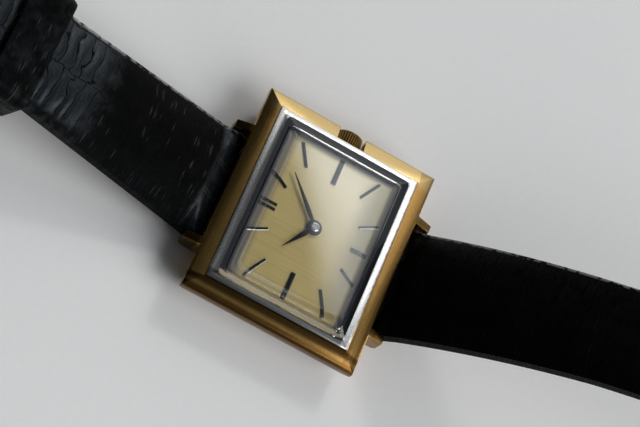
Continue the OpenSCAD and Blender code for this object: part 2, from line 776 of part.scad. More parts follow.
module click() {
    reach = click_tip - click_c;
    color(steel) at(click_c, under_wheel_z) {
        cylinder(h = under_wheel_t, r = 0.45);
        translate([0, 0, under_wheel_t - e]) cylinder(h = 0.3, r = post_r - run);
        rotate([0, 0, atan2(reach[1], reach[0])]) linear_extrude(under_wheel_t)
            polygon([[0, -0.3], [norm(reach) - 0.1, -0.14], [norm(reach), 0], [0, 0.4]]);
    }
}

// Pinion, wheel and pivots of one arbor of the train
module train_arbor(p, bottom, top, pinion_n, m_in, pz, ph, wheel_n, m_out, wz, wt,
        in_dir, out_dir) {
    at(p, 0) {
        cylinder_between(pivot_r, bottom, top);
        cylinder_between(0.2, bridge_top + 0.02, plate_z - 0.02);
        translate([0, 0, pz]) gear(pinion_n, m_in, ph, in_dir + 180 + 180 / pinion_n);
        translate([0, 0, wz]) difference() {
            gear(wheel_n, m_out, wt, out_dir);
            wheel_windows(pitch_r(wheel_n, m_out), wt);
        }
    }
}

// Openings between four spokes
module wheel_windows(r, t) {
    translate([0, 0, -1]) difference() {
        difference() {
            cylinder(h = t + 2, r = r - 0.4);
            translate([0, 0, -1]) cylinder(h = t + 4, r = 0.75);
        }
        for (a = [45, 135]) rotate([0, 0, a]) translate([-r, -0.18, -1]) cube([2 * r, 0.36, t + 4]);
    }
}

centre_wheel_z = plate_z - 0.22;
third_wheel_z = bridge_top + 0.07;
fourth_wheel_z = bridge_top + 0.5;
escape_z = bridge_top + 0.8;
train_t = 0.14;

module centre_wheel() {
    color(brass) {
        cylinder_between(0.3, bridge_z + 0.05, bridge_top + 0.03);
        cylinder_between(0.45, bridge_top + 0.02, centre_wheel_z);
        translate([0, 0, bridge_top + 0.07])
            gear(centre_pinion_n, barrel_m, 0.82, barrel_dir + 180 / centre_pinion_n);
        translate([0, 0, centre_wheel_z]) difference() {
            gear(centre_n, centre_m, train_t, third_dir);
            wheel_windows(pitch_r(centre_n, centre_m), train_t);
        }
        cylinder_between(0.32, centre_wheel_z - e, dial_z + 0.72);
    }
}

module third_wheel() {
    color(brass) train_arbor(third_c, bridge_top - 0.25, plate_z + 0.25, third_pinion_n, centre_m,
        third_wheel_z + train_t + 0.05, centre_wheel_z + train_t - third_wheel_z - train_t - 0.05,
        third_n, third_m, third_wheel_z, train_t, third_dir, fourth_dir);
}

module fourth_wheel() {
    color(brass) train_arbor(fourth_c, bridge_top - 0.25, plate_z + 0.25, fourth_pinion_n, third_m,
        third_wheel_z - 0.02, 0.4, fourth_n, fourth_m, fourth_wheel_z, train_t, fourth_dir,
        escape_dir);
}

module escape_wheel() {
    root = escape_r - 0.28;
    pts = [for (i = [0:escape_n - 1]) for (q = [[root, 0], [root, 0.5], [escape_r, 0.95],
        [escape_r, 1.02]]) let (a = escape_dir + 12 + 360 / escape_n * (i + q[1]))
            [q[0] * cos(a), q[0] * sin(a)]];
    color(steel) at(escape_c, 0) {
        cylinder_between(pivot_r, bridge_top - 0.25, plate_z + 0.25);
        cylinder_between(0.17, bridge_top + 0.02, plate_z - 0.02);
        translate([0, 0, fourth_wheel_z - 0.08])
            gear(escape_pinion_n, fourth_m, 0.3, escape_dir + 180 + 180 / escape_pinion_n);
        translate([0, 0, escape_z]) difference() {
            linear_extrude(0.12) polygon(pts);
            difference() {
                translate([0, 0, -1]) cylinder(h = 3, r = root - 0.25);
                translate([0, 0, -2]) cylinder(h = 5, r = 0.4);
                for (a = [0, 90]) rotate([0, 0, a]) translate([-2, -0.12, -2]) cube([4, 0.24, 5]);
            }
        }
    }
}

// The fork reaches from its own axis to the impulse pin, with an arm on each side for a pallet
pin_r = 0.09;
pin_orbit = 0.5;

module pallet_fork() {
    fork_l = balance_d - pin_orbit;
    color(steel) at(pallet_c, 0) {
        cylinder_between(pivot_r, pallet_bridge_z + 0.02, plate_z + 0.25);
        translate([0, 0, escape_z]) rotate([0, 0, balance_dir]) {
            cylinder(h = 0.12, r = 0.3);
            linear_extrude(0.12) polygon([[0, -0.14], [fork_l - 0.3, -0.1], [fork_l - 0.25, -0.34],
                [fork_l + 0.12, -0.3], [fork_l + 0.12, -0.15], [fork_l - 0.12, -0.13],
                [fork_l - 0.12, 0.13], [fork_l + 0.12, 0.15], [fork_l + 0.12, 0.3],
                [fork_l - 0.25, 0.34], [fork_l - 0.3, 0.1], [0, 0.14]]);
        }
        for (s = [-1, 1]) translate([0, 0, escape_z])
            rotate([0, 0, pallet_dir + 180 + s * 62]) linear_extrude(0.12)
                polygon([[0, -0.12], [1.05, -0.1], [1.05, 0.1], [0, 0.12]]);
    }
}

module balance_wheel() {
    z = bridge_top + 0.15;
    color("#c98b5a") at(balance_c, 0) {
        cylinder_between(pivot_r, bridge_top - 0.25, plate_z + 0.25);
        cylinder_between(0.22, bridge_top + 0.02, plate_z - 0.02);
        translate([0, 0, z]) difference() {
            cylinder(h = 0.25, r = balance_r);
            difference() {
                translate([0, 0, -1]) cylinder(h = 3, r = balance_r - 0.4);
                translate([0, 0, -2]) cylinder(h = 5, r = 0.5);
                for (a = [35, 155, 275]) rotate([0, 0, a]) translate([0, -0.15, -2])
                    cube([balance_r, 0.3, 5]);
            }
        }
        cylinder_between(pin_orbit + 0.12, bridge_top + 0.45, bridge_top + 0.6);
        rotate([0, 0, balance_dir + 180]) translate([pin_orbit, 0, 0])
            cylinder_between(pin_r, bridge_top + 0.59, escape_z + 0.14);
    }
}

module hairspring() {
    color("#3a4f8a") at(balance_c, bridge_top + 0.04) {
        linear_extrude(0.07) polygon(spiral_pts(0.32, 1.5, 7, 24, 0.05));
        translate([1.5, 0, -0.04]) cylinder(h = 0.11, r = 0.12);
    }
}

pipe_r = 0.75;
cannon_r = 0.5;
hour_wheel_z = plate_top - 0.3;
hour_hand_z = dial_z + marker_h + 0.06;
minute_hand_z = hour_hand_z + 0.24;
hand_t = 0.12;

module cannon_pinion() {
    color(steel) difference() {
        union() {
            cylinder_between(cannon_r, recess_z + 0.02, minute_hand_z + hand_t);
            translate([0, 0, motion_z]) gear(cannon_n, cannon_m, 0.3, motion_dir);
        }
        at([0, 0], 0) cylinder(h = 9, r = 0.32);
    }
}

module minute_wheel() {
    color(brass) at(minute_c, 0) difference() {
        union() {
            translate([0, 0, motion_z])
                gear(minute_n, cannon_m, 0.18, motion_dir + 180 + 180 / minute_n);
            translate([0, 0, motion_z + 0.17]) gear(minute_pinion_n, hour_m,
                hour_wheel_z + 0.2 - motion_z - 0.17, motion_dir + 180);
        }
        cylinder_between(post_r + run, 0, 9);
    }
}

module hour_wheel() {
    color(brass) difference() {
        union() {
            translate([0, 0, hour_wheel_z]) gear(hour_n, hour_m, 0.2, motion_dir + 180 / hour_n);
            cylinder_between(pipe_r, hour_wheel_z, hour_hand_z + hand_t);
        }
        cylinder_between(cannon_r + run, 0, 9);
    }
}

// A slim hand that widens a little past its hub and ends in a point
module hand(length, w, hub, tail) {
    linear_extrude(hand_t) polygon([[0, -w * 0.36], [length * 0.32, -w / 2], [length, -0.04],
        [length, 0.04], [length * 0.32, w / 2], [0, w * 0.36], [-tail, w * 0.25],
        [-tail, -w * 0.25]]);
    cylinder(h = hand_t, r = hub);
}

module minute_hand() {
    color("#18181a") difference() {
        translate([0, 0, minute_hand_z]) rotate([0, 0, 90 - minute_angle]) {
            hand(minute_len, hand_w, 0.85, 0.2);
            // Domed hub in two steps
            cylinder(h = hand_t + 0.12, r = 0.8);
            translate([0, 0, hand_t + 0.11]) cylinder(h = 0.1, r1 = 0.62, r2 = 0.45);
        }
        cylinder_between(cannon_r, 0, minute_hand_z + hand_t);
        cylinder_between(0.32, 0, 9);
    }
}

module hour_hand() {
    color("#18181a") difference() {
        translate([0, 0, hour_hand_z]) rotate([0, 0, 90 - hour_angle])
            hand(hour_len, hand_w * 1.1, 1.05, 0.2);
        cylinder_between(pipe_r, 0, 9);
    }
}

// A rod along the stem's axis from x0 to x1
module stem_rod(r, x0, x1) {
    translate([x0, 0, stem_z]) rotate([0, 90, 0]) cylinder(h = x1 - x0, r = r);
}

square_half = 0.36;

module winding_stem() {
    color(steel) {
        stem_rod(0.25, stem_tip_x, square_x + e);
        block(square_x, pinion_x - 0.05, -square_half, square_half,
            stem_z - square_half, stem_z + square_half);
        stem_rod(stem_r, pinion_x - 0.05 - e, groove_x);
        stem_rod(groove_r, groove_x - e, groove_x + groove_w + e);
        stem_rod(stem_r, groove_x + groove_w, plate_r + 0.3);
        stem_rod(stem_out_r, plate_r + 0.3 - e, crown_x + crown_l * 0.6);
    }
}

module crown() {
    pts = [for (i = [0:crown_flutes - 1]) for (q = [[-0.12, -0.32], [0, -0.18], [0, 0.18],
        [-0.12, 0.32]]) let (a = 360 / crown_flutes * (i + q[1]))
            [(crown_r + q[0]) * cos(a), (crown_r + q[0]) * sin(a)]];
    color(gold) difference() {
        union() {
            translate([crown_x, 0, stem_z]) rotate([0, 90, 0])
                linear_extrude(crown_l - 0.15) polygon(pts);
            translate([crown_x + crown_l - 0.15, 0, stem_z]) rotate([0, 90, 0])
                cylinder(h = 0.15, r1 = crown_r - 0.12, r2 = crown_r - 0.4);
        }
        stem_rod(stem_out_r, crown_x - 1, crown_x + crown_l * 0.6);
    }
}

module winding_pinion() {
    m = 2 * pinion_r / winding_n;
    color(steel) difference() {
        translate([pinion_x, 0, stem_z]) rotate([0, 90, 0])
            linear_extrude(pinion_l) polygon(gear_pts(winding_n, pinion_r, m, 0));
        stem_rod(stem_r + run, 0, 9);
    }
}

module clutch_wheel() {
    color(steel) difference() {
        union() {
            stem_rod(clutch_r, clutch_x, yoke_groove_x);
            stem_rod(clutch_r - 0.3, yoke_groove_x - e, yoke_groove_x + yoke_groove_w + e);
            stem_rod(clutch_r, yoke_groove_x + yoke_groove_w, clutch_x + clutch_l);
        }
        block(0, 9, -square_half - run, square_half + run,
            stem_z - square_half - run, stem_z + square_half + run);
        // Radial teeth on the inner face, which turn the setting wheel
        for (a = [0:30:150]) translate([clutch_x - e, 0, stem_z]) rotate([a, 0, 0])
            translate([0, -2, -0.09]) cube([0.15, 4, 0.18]);
    }
}

module setting_wheel() {
    dir = atan2(setting_c[1] - minute_c[1], setting_c[0] - minute_c[0]);
    // Turned so that a gap of this wheel meets a tooth of the minute wheel
    phase = dir + 180 + 180 / setting_n
        + (dir - motion_dir - 180 - 180 / minute_n) * minute_n / setting_n;
    color(steel) at(setting_c, motion_z) difference() {
        gear(setting_n, cannon_m, 0.18, phase);
        translate([0, 0, -1]) cylinder(h = 3, r = post_r + run);
    }
}

module lever_plate(c, p, r0, r1) {
    reach = p - c;
    difference() {
        at(c, motion_z) {
            cylinder(h = 0.2, r = r0);
            rotate([0, 0, atan2(reach[1], reach[0])]) linear_extrude(0.2)
                polygon([[0, -r0 * 0.8], [norm(reach), -r1], [norm(reach), r1], [0, r0 * 0.8]]);
        }
        at(c, 0) cylinder_between(post_r + run, 0, 9);
    }
}

module setting_lever() {
    color(steel) {
        lever_plate(lever_c, lever_pin, 0.5, 0.16);
        at(lever_pin, 0) cylinder_between(lever_pin_r, stem_z - 0.25, motion_z + 0.2);
    }
}

module yoke() {
    color(steel) {
        lever_plate(yoke_c, yoke_pin, 0.6, 0.12);
        at(yoke_pin, 0) cylinder_between(0.12, stem_z - 0.2, motion_z + 0.2);
    }
}

module spring_bar(sy) {
    half = lug_gap / 2 - 0.05;
    color(steel) translate([0, sy * bar_y, bar_z]) rotate([0, 90, 0]) {
        translate([0, 0, -half]) cylinder(h = 2 * half, r = bar_r);
        translate([0, 0, -half - 0.7]) cylinder(h = 2 * half + 1.4, r = bar_pivot_r);
    }
}

module spring_bar_12() {
    spring_bar(1);
}

module spring_bar_6() {
    spring_bar(-1);
}

// Cross-section of a strap: flat below, upright edges and a crowned top
crown_steps = 8;
function strap_ring(w, h) = let (c = h - strap_edge)
    concat([[-w, -strap_under], [w, -strap_under]],
        [for (i = [0:crown_steps]) let (u = 1 - 2 * i / crown_steps)
            [w * u, strap_edge + c * (1 - pow(abs(u), 2.6))]]);

module strap_loft(l, tilt, l0, curl, s_list, tail) {
    n = crown_steps + 3;
    pts = [for (s = s_list) let (a = path_a(s, tilt, l0, curl), y = path_y(s, tilt, l0, curl),
            z = path_z(s, tilt, l0, curl), w = tail ? tail_w(s, l) : strap_half_w(s))
        for (q = strap_ring(w, strap_h(s)))
            [q[0], y - q[1] * sin(a), z + q[1] * cos(a)]];
    last = n * (len(s_list) - 1);
    faces = concat([[for (i = [n - 1:-1:0]) i]], [[for (i = [0:n - 1]) last + i]],
        [for (k = [0:len(s_list) - 2]) for (i = [0:n - 1]) let (j = (i + 1) % n)
            for (f = [[k * n + i, (k + 1) * n + j, (k + 1) * n + i],
                [k * n + i, k * n + j, (k + 1) * n + j]]) f]);
    polyhedron(points = pts, faces = faces, convexity = 4);
}

module strap_loop(w, r) {
    translate([-w, 0, 0]) rotate([0, 90, 0]) cylinder(h = 2 * w, r = r);
}

module bar_bore(r) {
    translate([-20, 0, 0]) rotate([0, 90, 0]) cylinder(h = 40, r = r);
}

// Stations are closer where the padding rises and where the tail narrows
function stations(l, tail) = concat([for (i = [0:6]) pad_rise_l * i / 6],
    [for (i = [1:14]) pad_rise_l + (l - pad_rise_l - tail_tip_l) * i / 14],
    [for (i = [1:5]) l - tail_tip_l + tail_tip_l * (tail ? sin(18 * i) : i / 5)]);

module strap_12() {
    l = strap_12_l;
    color(leather) translate([0, bar_y, bar_z]) difference() {
        union() {
            strap_loft(l, strap_12_tilt, strap_12_straight, strap_12_curl, stations(l, false),
                false);
            strap_loop(strap_w_lug / 2 - 0.05, loop_r);
            translate([0, buckle_y - bar_y, buckle_z - bar_z])
                strap_loop(strap_w_end / 2 - 0.05, loop_r);
        }
        bar_bore(bar_r + run);
        translate([0, buckle_y - bar_y, buckle_z - bar_z]) {
            bar_bore(buckle_bar_r + run);
            block(-slot_w / 2, slot_w / 2, -3.5, 3, -4, 4);
        }
    }
}

hole_first = strap_6_l - 12 - (hole_count - 1) * hole_pitch;

module strap_6() {
    l = strap_6_l;
    color(leather) translate([0, -bar_y, bar_z]) mirror([0, 1, 0]) difference() {
        union() {
            strap_loft(l, strap_6_tilt, 0, strap_6_curl, stations(l, true), true);
            strap_loop(strap_w_lug / 2 - 0.05, loop_r);
        }
        bar_bore(bar_r + run);
        for (i = [0:hole_count - 1]) let (s = hole_first + i * hole_pitch)
            translate([0, path_y(s, strap_6_tilt, 0, strap_6_curl),
                path_z(s, strap_6_tilt, 0, strap_6_curl)])
                rotate([path_a(s, strap_6_tilt, 0, strap_6_curl), 0, 0])
                    translate([0, 0, -5]) cylinder(h = 10, r = hole_r);
    }
}

// A leather loop round the strap, centred at distance s along the buckle half
module keeper(s, w, half_in, low, high) {
    out = [half_in + keeper_t, high - low + 2 * keeper_t];
    color(leather) translate([0, bar_y + path_y(s, strap_12_tilt, strap_12_straight, strap_12_curl),
            bar_z + path_z(s, strap_12_tilt, strap_12_straight, strap_12_curl)])
        rotate([path_a(s, strap_12_tilt, strap_12_straight, strap_12_curl), 0, 0])
            translate([0, w / 2, 0]) rotate([90, 0, 0]) difference() {
                translate([0, (high + low) / 2, 0]) rounded_plan([2 * out[0], out[1]], 1.1, 0, w);
                translate([0, (high + low) / 2, 0])
                    rounded_plan([2 * half_in, high - low], 0.4, -1, w + 1);
            }
}

module free_keeper() {
    near = keeper_s - keeper_in;
    keeper(keeper_s + keeper_w / 2, keeper_w, strap_half_w(near) + 0.15,
        -strap_under - tail_room, strap_h(near) + 0.15);
}

module fixed_keeper() {
    s = fixed_keeper_s;
    keeper(s + fixed_keeper_w / 2, fixed_keeper_w, strap_half_w(s) + 0.08, -strap_under - 0.1,
        strap_h(s) + tail_room);
}

module buckle_frame() {
    half = buckle_gap / 2;
    color(gold) translate([0, buckle_y, buckle_z]) difference() {
        union() {
            translate([-half - buckle_arm, buckle_l, 0]) rotate([0, 90, 0])
                cylinder(h = 2 * half + 2 * buckle_arm, r = buckle_r);
            for (sx = [-1, 1]) translate([sx > 0 ? half : -half - buckle_arm, 0, 0]) {
                block(0, buckle_arm, 0, buckle_l, -buckle_r, buckle_r);
                rotate([0, 90, 0]) cylinder(h = buckle_arm, r = buckle_r);
            }
        }
        translate([-half - 0.8, 0, 0]) rotate([0, 90, 0])
            cylinder(h = 2 * half + 1.6, r = 0.3 + run);
    }
}

module buckle_bar() {
    half = buckle_gap / 2 - 0.05;
    color(steel) translate([0, buckle_y, buckle_z]) rotate([0, 90, 0]) {
        translate([0, 0, -half]) cylinder(h = 2 * half, r = buckle_bar_r);
        translate([0, 0, -half - 0.7]) cylinder(h = 2 * half + 1.4, r = 0.3);
    }
}

module buckle_tongue() {
    r = buckle_bar_r + 0.45;
    rest = buckle_r + 0.05;
    side = [[0, -r], [r * 0.5, -r * 0.8], [buckle_l - 1.2, rest - 0.1], [buckle_l, rest],
        [buckle_l + 1, rest - 0.1], [buckle_l + 1, rest + 0.45], [buckle_l - 0.5, rest + 0.95],
        [r * 0.9, r * 0.85], [0, r]];
    color(gold) translate([-tongue_w / 2, buckle_y, buckle_z]) difference() {
        union() {
            rotate([0, 90, 0]) cylinder(h = tongue_w, r = r);
            rotate([90, 0, 90]) linear_extrude(tongue_w) polygon(side);
        }
        translate([-1, 0, 0]) rotate([0, 90, 0]) cylinder(h = tongue_w + 2, r = buckle_bar_r + run);
    }
}

case_body();
inner_bezel();
crystal();
case_back();
crown_tube();
movement_holder();
dial();
hour_markers();
main_plate();
barrel_bridge();
train_bridge();
pallet_bridge();
balance_cock();
bridge_screws();
bearing_jewels();
mainspring_barrel();
mainspring();
barrel_arbor();
ratchet_wheel();
crown_wheel();
click();
centre_wheel();
third_wheel();
fourth_wheel();
escape_wheel();
pallet_fork();
balance_wheel();
hairspring();
cannon_pinion();
minute_wheel();
hour_wheel();
minute_hand();
hour_hand();
winding_stem();
crown();
winding_pinion();
clutch_wheel();
setting_wheel();
setting_lever();
yoke();
spring_bar_12();
spring_bar_6();
strap_12();
strap_6();
free_keeper();
fixed_keeper();
buckle_frame();
buckle_bar();
buckle_tongue();
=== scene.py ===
"""Rectangular dress watch: the looks of every piece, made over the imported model."""

import math
import bmesh
import bpy
from mathutils import Matrix, Vector


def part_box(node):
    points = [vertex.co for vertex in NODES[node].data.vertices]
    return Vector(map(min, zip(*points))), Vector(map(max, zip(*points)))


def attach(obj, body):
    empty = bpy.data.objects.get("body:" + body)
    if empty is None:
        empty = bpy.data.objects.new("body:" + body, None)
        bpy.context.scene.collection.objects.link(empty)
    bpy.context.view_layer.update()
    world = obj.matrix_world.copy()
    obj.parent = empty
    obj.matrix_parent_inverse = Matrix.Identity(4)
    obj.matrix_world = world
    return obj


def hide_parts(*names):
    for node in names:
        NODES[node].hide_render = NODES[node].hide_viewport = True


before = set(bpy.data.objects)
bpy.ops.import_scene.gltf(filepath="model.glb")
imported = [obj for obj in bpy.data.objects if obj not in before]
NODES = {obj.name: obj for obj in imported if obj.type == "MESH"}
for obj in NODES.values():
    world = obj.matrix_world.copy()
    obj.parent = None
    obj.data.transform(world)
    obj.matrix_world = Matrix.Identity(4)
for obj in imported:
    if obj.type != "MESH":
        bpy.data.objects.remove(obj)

bl_info = {
    "name": "Rectangular dress watch",
    "version": (1, 0, 0),
    "blender": (4, 5, 0),
    "location": "View3D > Sidebar > Watch",
    "description": "Dresses the packed watch: case, crystal, dial, movement, strap and stage",
    "category": "Object",
}

MM = 0.001


def node_span(name):
    """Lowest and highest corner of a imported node, in millimetres."""
    low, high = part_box(name)
    return low / MM, high / MM


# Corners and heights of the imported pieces, in mm
CASE_HIGH = node_span("case_body")[1]
RING_HIGH = node_span("inner_bezel")[1]
GLASS_LOW, GLASS_HIGH = node_span("crystal")
DIAL_TOP = node_span("dial")[1].z
MARKER_TOP = node_span("hour_markers")[1].z
# Half of the case from 12 to 6 without its lugs
CASE_HALF_LENGTH = 12.4
# Packed points nearer than this, in metres, are one; flat and sharp are angles between faces
MERGE = 2e-6
FLAT, SHARP = math.radians(0.6), math.radians(28)
# Colours that no setting changes
WHITE = (1.0, 1.0, 1.0, 1)
SLATE = (0.02, 0.024, 0.034, 1)
DIRT_AND_SHADE = (0.01, 0.008, 0.005, 1)
BARE_METAL = (0.5, 0.5, 0.5)


# Settings that a user would change


class WatchCaseSettings(bpy.types.PropertyGroup):
    gold: bpy.props.FloatVectorProperty(
        name="Gold",
        description="Colour of the gilt case, crown and buckle",
        default=(0.62, 0.37, 0.115),
        min=0,
        max=1,
        subtype="COLOR",
    )
    # The worn gold also tints the shade painted on the case's darker sides
    worn_and_shaded_gold: bpy.props.FloatVectorProperty(
        name="Worn gold",
        description="Colour where the gilding has browned",
        default=(0.3, 0.14, 0.036),
        min=0,
        max=1,
        subtype="COLOR",
    )
    silver: bpy.props.FloatVectorProperty(
        name="Silver",
        description="Colour of the plated ring round the crystal",
        default=(0.8, 0.8, 0.78),
        min=0,
        max=1,
        subtype="COLOR",
    )
    edge: bpy.props.FloatProperty(
        name="Edge rounding",
        description="Width of the rounding on the metal edges",
        default=0.07 * MM,
        min=0,
        unit="LENGTH",
    )
    wear: bpy.props.FloatProperty(
        name="Wear",
        description="How far the gilding and the plating have worn",
        default=0.55,
        min=0,
        max=1,
        subtype="FACTOR",
    )


class WatchDialSettings(bpy.types.PropertyGroup):
    champagne: bpy.props.FloatVectorProperty(
        name="Champagne",
        description="Colour of the satin dial",
        default=(0.41, 0.325, 0.13),
        min=0,
        max=1,
        subtype="COLOR",
    )
    marker: bpy.props.FloatVectorProperty(
        name="Marker",
        description="Colour of the polished hour markers",
        default=(0.014, 0.015, 0.018),
        min=0,
        max=1,
        subtype="COLOR",
    )
    ink: bpy.props.FloatVectorProperty(
        name="Hands",
        description="Colour of the blackened hands",
        default=(0.004, 0.004, 0.005),
        min=0,
        max=1,
        subtype="COLOR",
    )


class WatchStrapSettings(bpy.types.PropertyGroup):
    leather: bpy.props.FloatVectorProperty(
        name="Leather",
        description="Colour of the glazed strap leather",
        default=(0.002, 0.002, 0.0018),
        min=0,
        max=1,
        subtype="COLOR",
    )
    lining: bpy.props.FloatVectorProperty(
        name="Lining",
        description="Colour of the leather against the wrist",
        default=(0.035, 0.022, 0.015),
        min=0,
        max=1,
        subtype="COLOR",
    )
    row: bpy.props.FloatProperty(
        name="Row pitch",
        description="Length of one scale along the strap",
        default=1.7 * MM,
        min=0.5 * MM,
        unit="LENGTH",
    )
    column: bpy.props.FloatProperty(
        name="Column width",
        description="Width of one scale across the strap",
        default=6.3 * MM,
        min=1 * MM,
        unit="LENGTH",
    )
    depth: bpy.props.FloatProperty(
        name="Groove depth",
        description="Depth of the grooves between the scales",
        default=0.08 * MM,
        min=0,
        unit="LENGTH",
    )


class WatchStageSettings(bpy.types.PropertyGroup):
    floor: bpy.props.FloatVectorProperty(
        name="Floor",
        description="Colour of the plain floor",
        default=(0.95, 0.95, 0.95),
        min=0,
        max=1,
        subtype="COLOR",
    )
    sky: bpy.props.FloatProperty(
        name="Sky",
        description="Strength of the light from all round",
        default=1.0,
        min=0,
    )
    window: bpy.props.FloatProperty(
        name="Window",
        description="Strength of the soft window that the crystal and the ring reflect",
        default=2.2,
        min=0,
    )
    lamp: bpy.props.FloatProperty(
        name="Fill lamp",
        description="Power of the large soft lamp on the side away from the crown",
        default=24.0,
        min=0,
        unit="POWER",
    )


# Short calls for building node trees


class Wiring:
    """Adds nodes to one tree and joins them; a value is a number, a colour or a socket."""

    def __init__(self, tree):
        self.tree = tree

    def add(self, kind, inputs=None, **settings):
        made = self.tree.nodes.new(kind)
        for key, value in settings.items():
            setattr(made, key, value)
        for key, value in (inputs or {}).items():
            self.feed(made.inputs[key], value)
        return made

    def feed(self, socket, value):
        if isinstance(value, bpy.types.NodeSocket):
            self.tree.links.new(value, socket)
        else:
            socket.default_value = value

    def math(self, operation, a, b=0.0):
        return self.add("ShaderNodeMath", {0: a, 1: b}, operation=operation).outputs[0]

    def chain(self, operation, first, *rest):
        for item in rest:
            first = self.math(operation, first, item)
        return first

    def times(self, *values):
        return self.chain("MULTIPLY", *values)

    def plus(self, *values):
        return self.chain("ADD", *values)

    def minus(self, a, b):
        return self.math("SUBTRACT", a, b)

    def larger(self, a, b):
        return self.math("MAXIMUM", a, b)

    def absolute(self, a):
        return self.math("ABSOLUTE", a)

    def span(self, value, low, high, to_low=0.0, to_high=1.0):
        """A smooth step from to_low to to_high while the value goes from low to high."""
        keys = ("Value", "From Min", "From Max", "To Min", "To Max")
        inputs = dict(zip(keys, (value, low, high, to_low, to_high)))
        made = self.add("ShaderNodeMapRange", inputs, interpolation_type="SMOOTHSTEP")
        return made.outputs["Result"]

    def fade(self, value, low, high):
        """A smooth step from 1 to 0 while the value goes from low to high."""
        return self.span(value, low, high, 1.0, 0.0)

    def mix(self, factor, a, b):
        return self.add("ShaderNodeMix", {0: factor, 6: a, 7: b}, data_type="RGBA").outputs[2]

    def blend(self, factor, a, b):
        return self.add("ShaderNodeMix", {0: factor, 2: a, 3: b}, data_type="FLOAT").outputs[0]

    def split(self, vector):
        return self.add("ShaderNodeSeparateXYZ", {"Vector": vector}).outputs

    def join(self, x, y, z):
        return self.add("ShaderNodeCombineXYZ", {"X": x, "Y": y, "Z": z}).outputs[0]

    def scaled(self, vector, factor):
        inputs = {0: vector, "Scale": factor}
        return self.add("ShaderNodeVectorMath", inputs, operation="SCALE").outputs[0]

    def length(self, vector):
        made = self.add("ShaderNodeVectorMath", {0: vector}, operation="LENGTH")
        return made.outputs["Value"]

    def noise(self, vector, scale=1.0, detail=3.0, roughness=0.55):
        inputs = {"Vector": vector, "Scale": scale, "Detail": detail, "Roughness": roughness}
        return self.add("ShaderNodeTexNoise", inputs).outputs[0]

    def place(self):
        """Object coordinates in millimetres."""
        return self.scaled(self.add("ShaderNodeTexCoord").outputs["Object"], 1 / MM)

    def group(self, tree, inputs):
        return self.add("ShaderNodeGroup", inputs, node_tree=tree).outputs


def colour(value):
    """A setting's colour with full alpha."""
    return (*value, 1.0)


def shaded(value, share):
    """A setting's colour made darker or lighter by a share."""
    return colour([c * share for c in value])


FLOAT = "NodeSocketFloat"
VECTOR = "NodeSocketVector"
WHOLE = "NodeSocketInt"
MATERIAL = "NodeSocketMaterial"
GEOMETRY = "NodeSocketGeometry"


def start_group(name, kind, inputs, outputs):
    """A new node group with named sockets: its wiring, its inputs and its output node."""
    tree = bpy.data.node_groups.new(name, kind)
    for label, socket_type, value in inputs:
        socket = tree.interface.new_socket(label, in_out="INPUT", socket_type=socket_type)
        if value is not None:
            socket.default_value = value
    for label, socket_type in outputs:
        tree.interface.new_socket(label, in_out="OUTPUT", socket_type=socket_type)
    w = Wiring(tree)
    return w, w.add("NodeGroupInput").outputs, w.add("NodeGroupOutput")


SHADER_GROUPS = {}


def shader_group(name, inputs, outputs, build):
    """A shader node group, built once and found again by its name."""
    if name not in SHADER_GROUPS:
        w, source, target = start_group(name, "ShaderNodeTree", inputs, outputs)
        for label, value in build(w, source).items():
            w.feed(target.inputs[label], value)
        SHADER_GROUPS[name] = w.tree
    return SHADER_GROUPS[name]


def satin_lines():
    """Fine parallel lines; Turn 0 lays them along X and 1 along Y."""

    def build(w, source):
        x, y, z = w.split(source["Place"])
        long_scale, fine = source["Along"], source["Across"]
        flat = w.join(w.times(x, long_scale), w.times(y, fine), w.times(z, fine))
        turned = w.join(w.times(x, fine), w.times(y, long_scale), w.times(z, fine))
        a, b = w.noise(flat, 1, 3, 0.65), w.noise(turned, 1, 3, 0.65)
        return {"Lines": w.blend(source["Turn"], a, b)}

    return shader_group(
        "satin_lines",
        [
            ("Place", VECTOR, None),
            ("Along", FLOAT, 0.4),
            ("Across", FLOAT, 9.0),
            ("Turn", FLOAT, 0.0),
        ],
        [("Lines", FLOAT)],
        build,
    )


def worn_patches():
    """Blotches where a finish has gone, from fine and broad noise together."""

    def build(w, source):
        place = source["Place"]
        size = w.math("DIVIDE", 1.0, source["Size"])
        broad = w.noise(w.scaled(place, size), 1, 4, 0.6)
        fine = w.noise(w.scaled(place, w.times(size, 7.0)), 1, 2, 0.5)
        both = w.plus(w.times(broad, 0.78), w.times(fine, 0.22))
        low = w.minus(0.72, w.times(source["Amount"], 0.4))
        high = w.plus(low, source["Softness"])
        return {"Mask": w.span(both, low, high)}

    return shader_group(
        "worn_patches",
        [
            ("Place", VECTOR, None),
            ("Size", FLOAT, 3.0),
            ("Amount", FLOAT, 0.5),
            ("Softness", FLOAT, 0.15),
        ],
        [("Mask", FLOAT)],
        build,
    )


def fine_specks():
    """Small separate dots, such as pits in plating or dust."""

    def build(w, source):
        place = w.scaled(source["Place"], w.math("DIVIDE", 1.0, source["Pitch"]))
        cells = w.add("ShaderNodeTexVoronoi", {"Vector": place, "Scale": 1.0}, feature="F1")
        tint = w.split(cells.outputs["Color"])[0]
        edge = w.times(source["Fill"], w.times(tint, 0.45))
        dot = w.fade(cells.outputs["Distance"], w.times(edge, 0.6), edge)
        return {"Mask": dot, "Tint": tint}

    return shader_group(
        "fine_specks",
        [("Place", VECTOR, None), ("Pitch", FLOAT, 0.3), ("Fill", FLOAT, 0.6)],
        [("Mask", FLOAT), ("Tint", FLOAT)],
        build,
    )


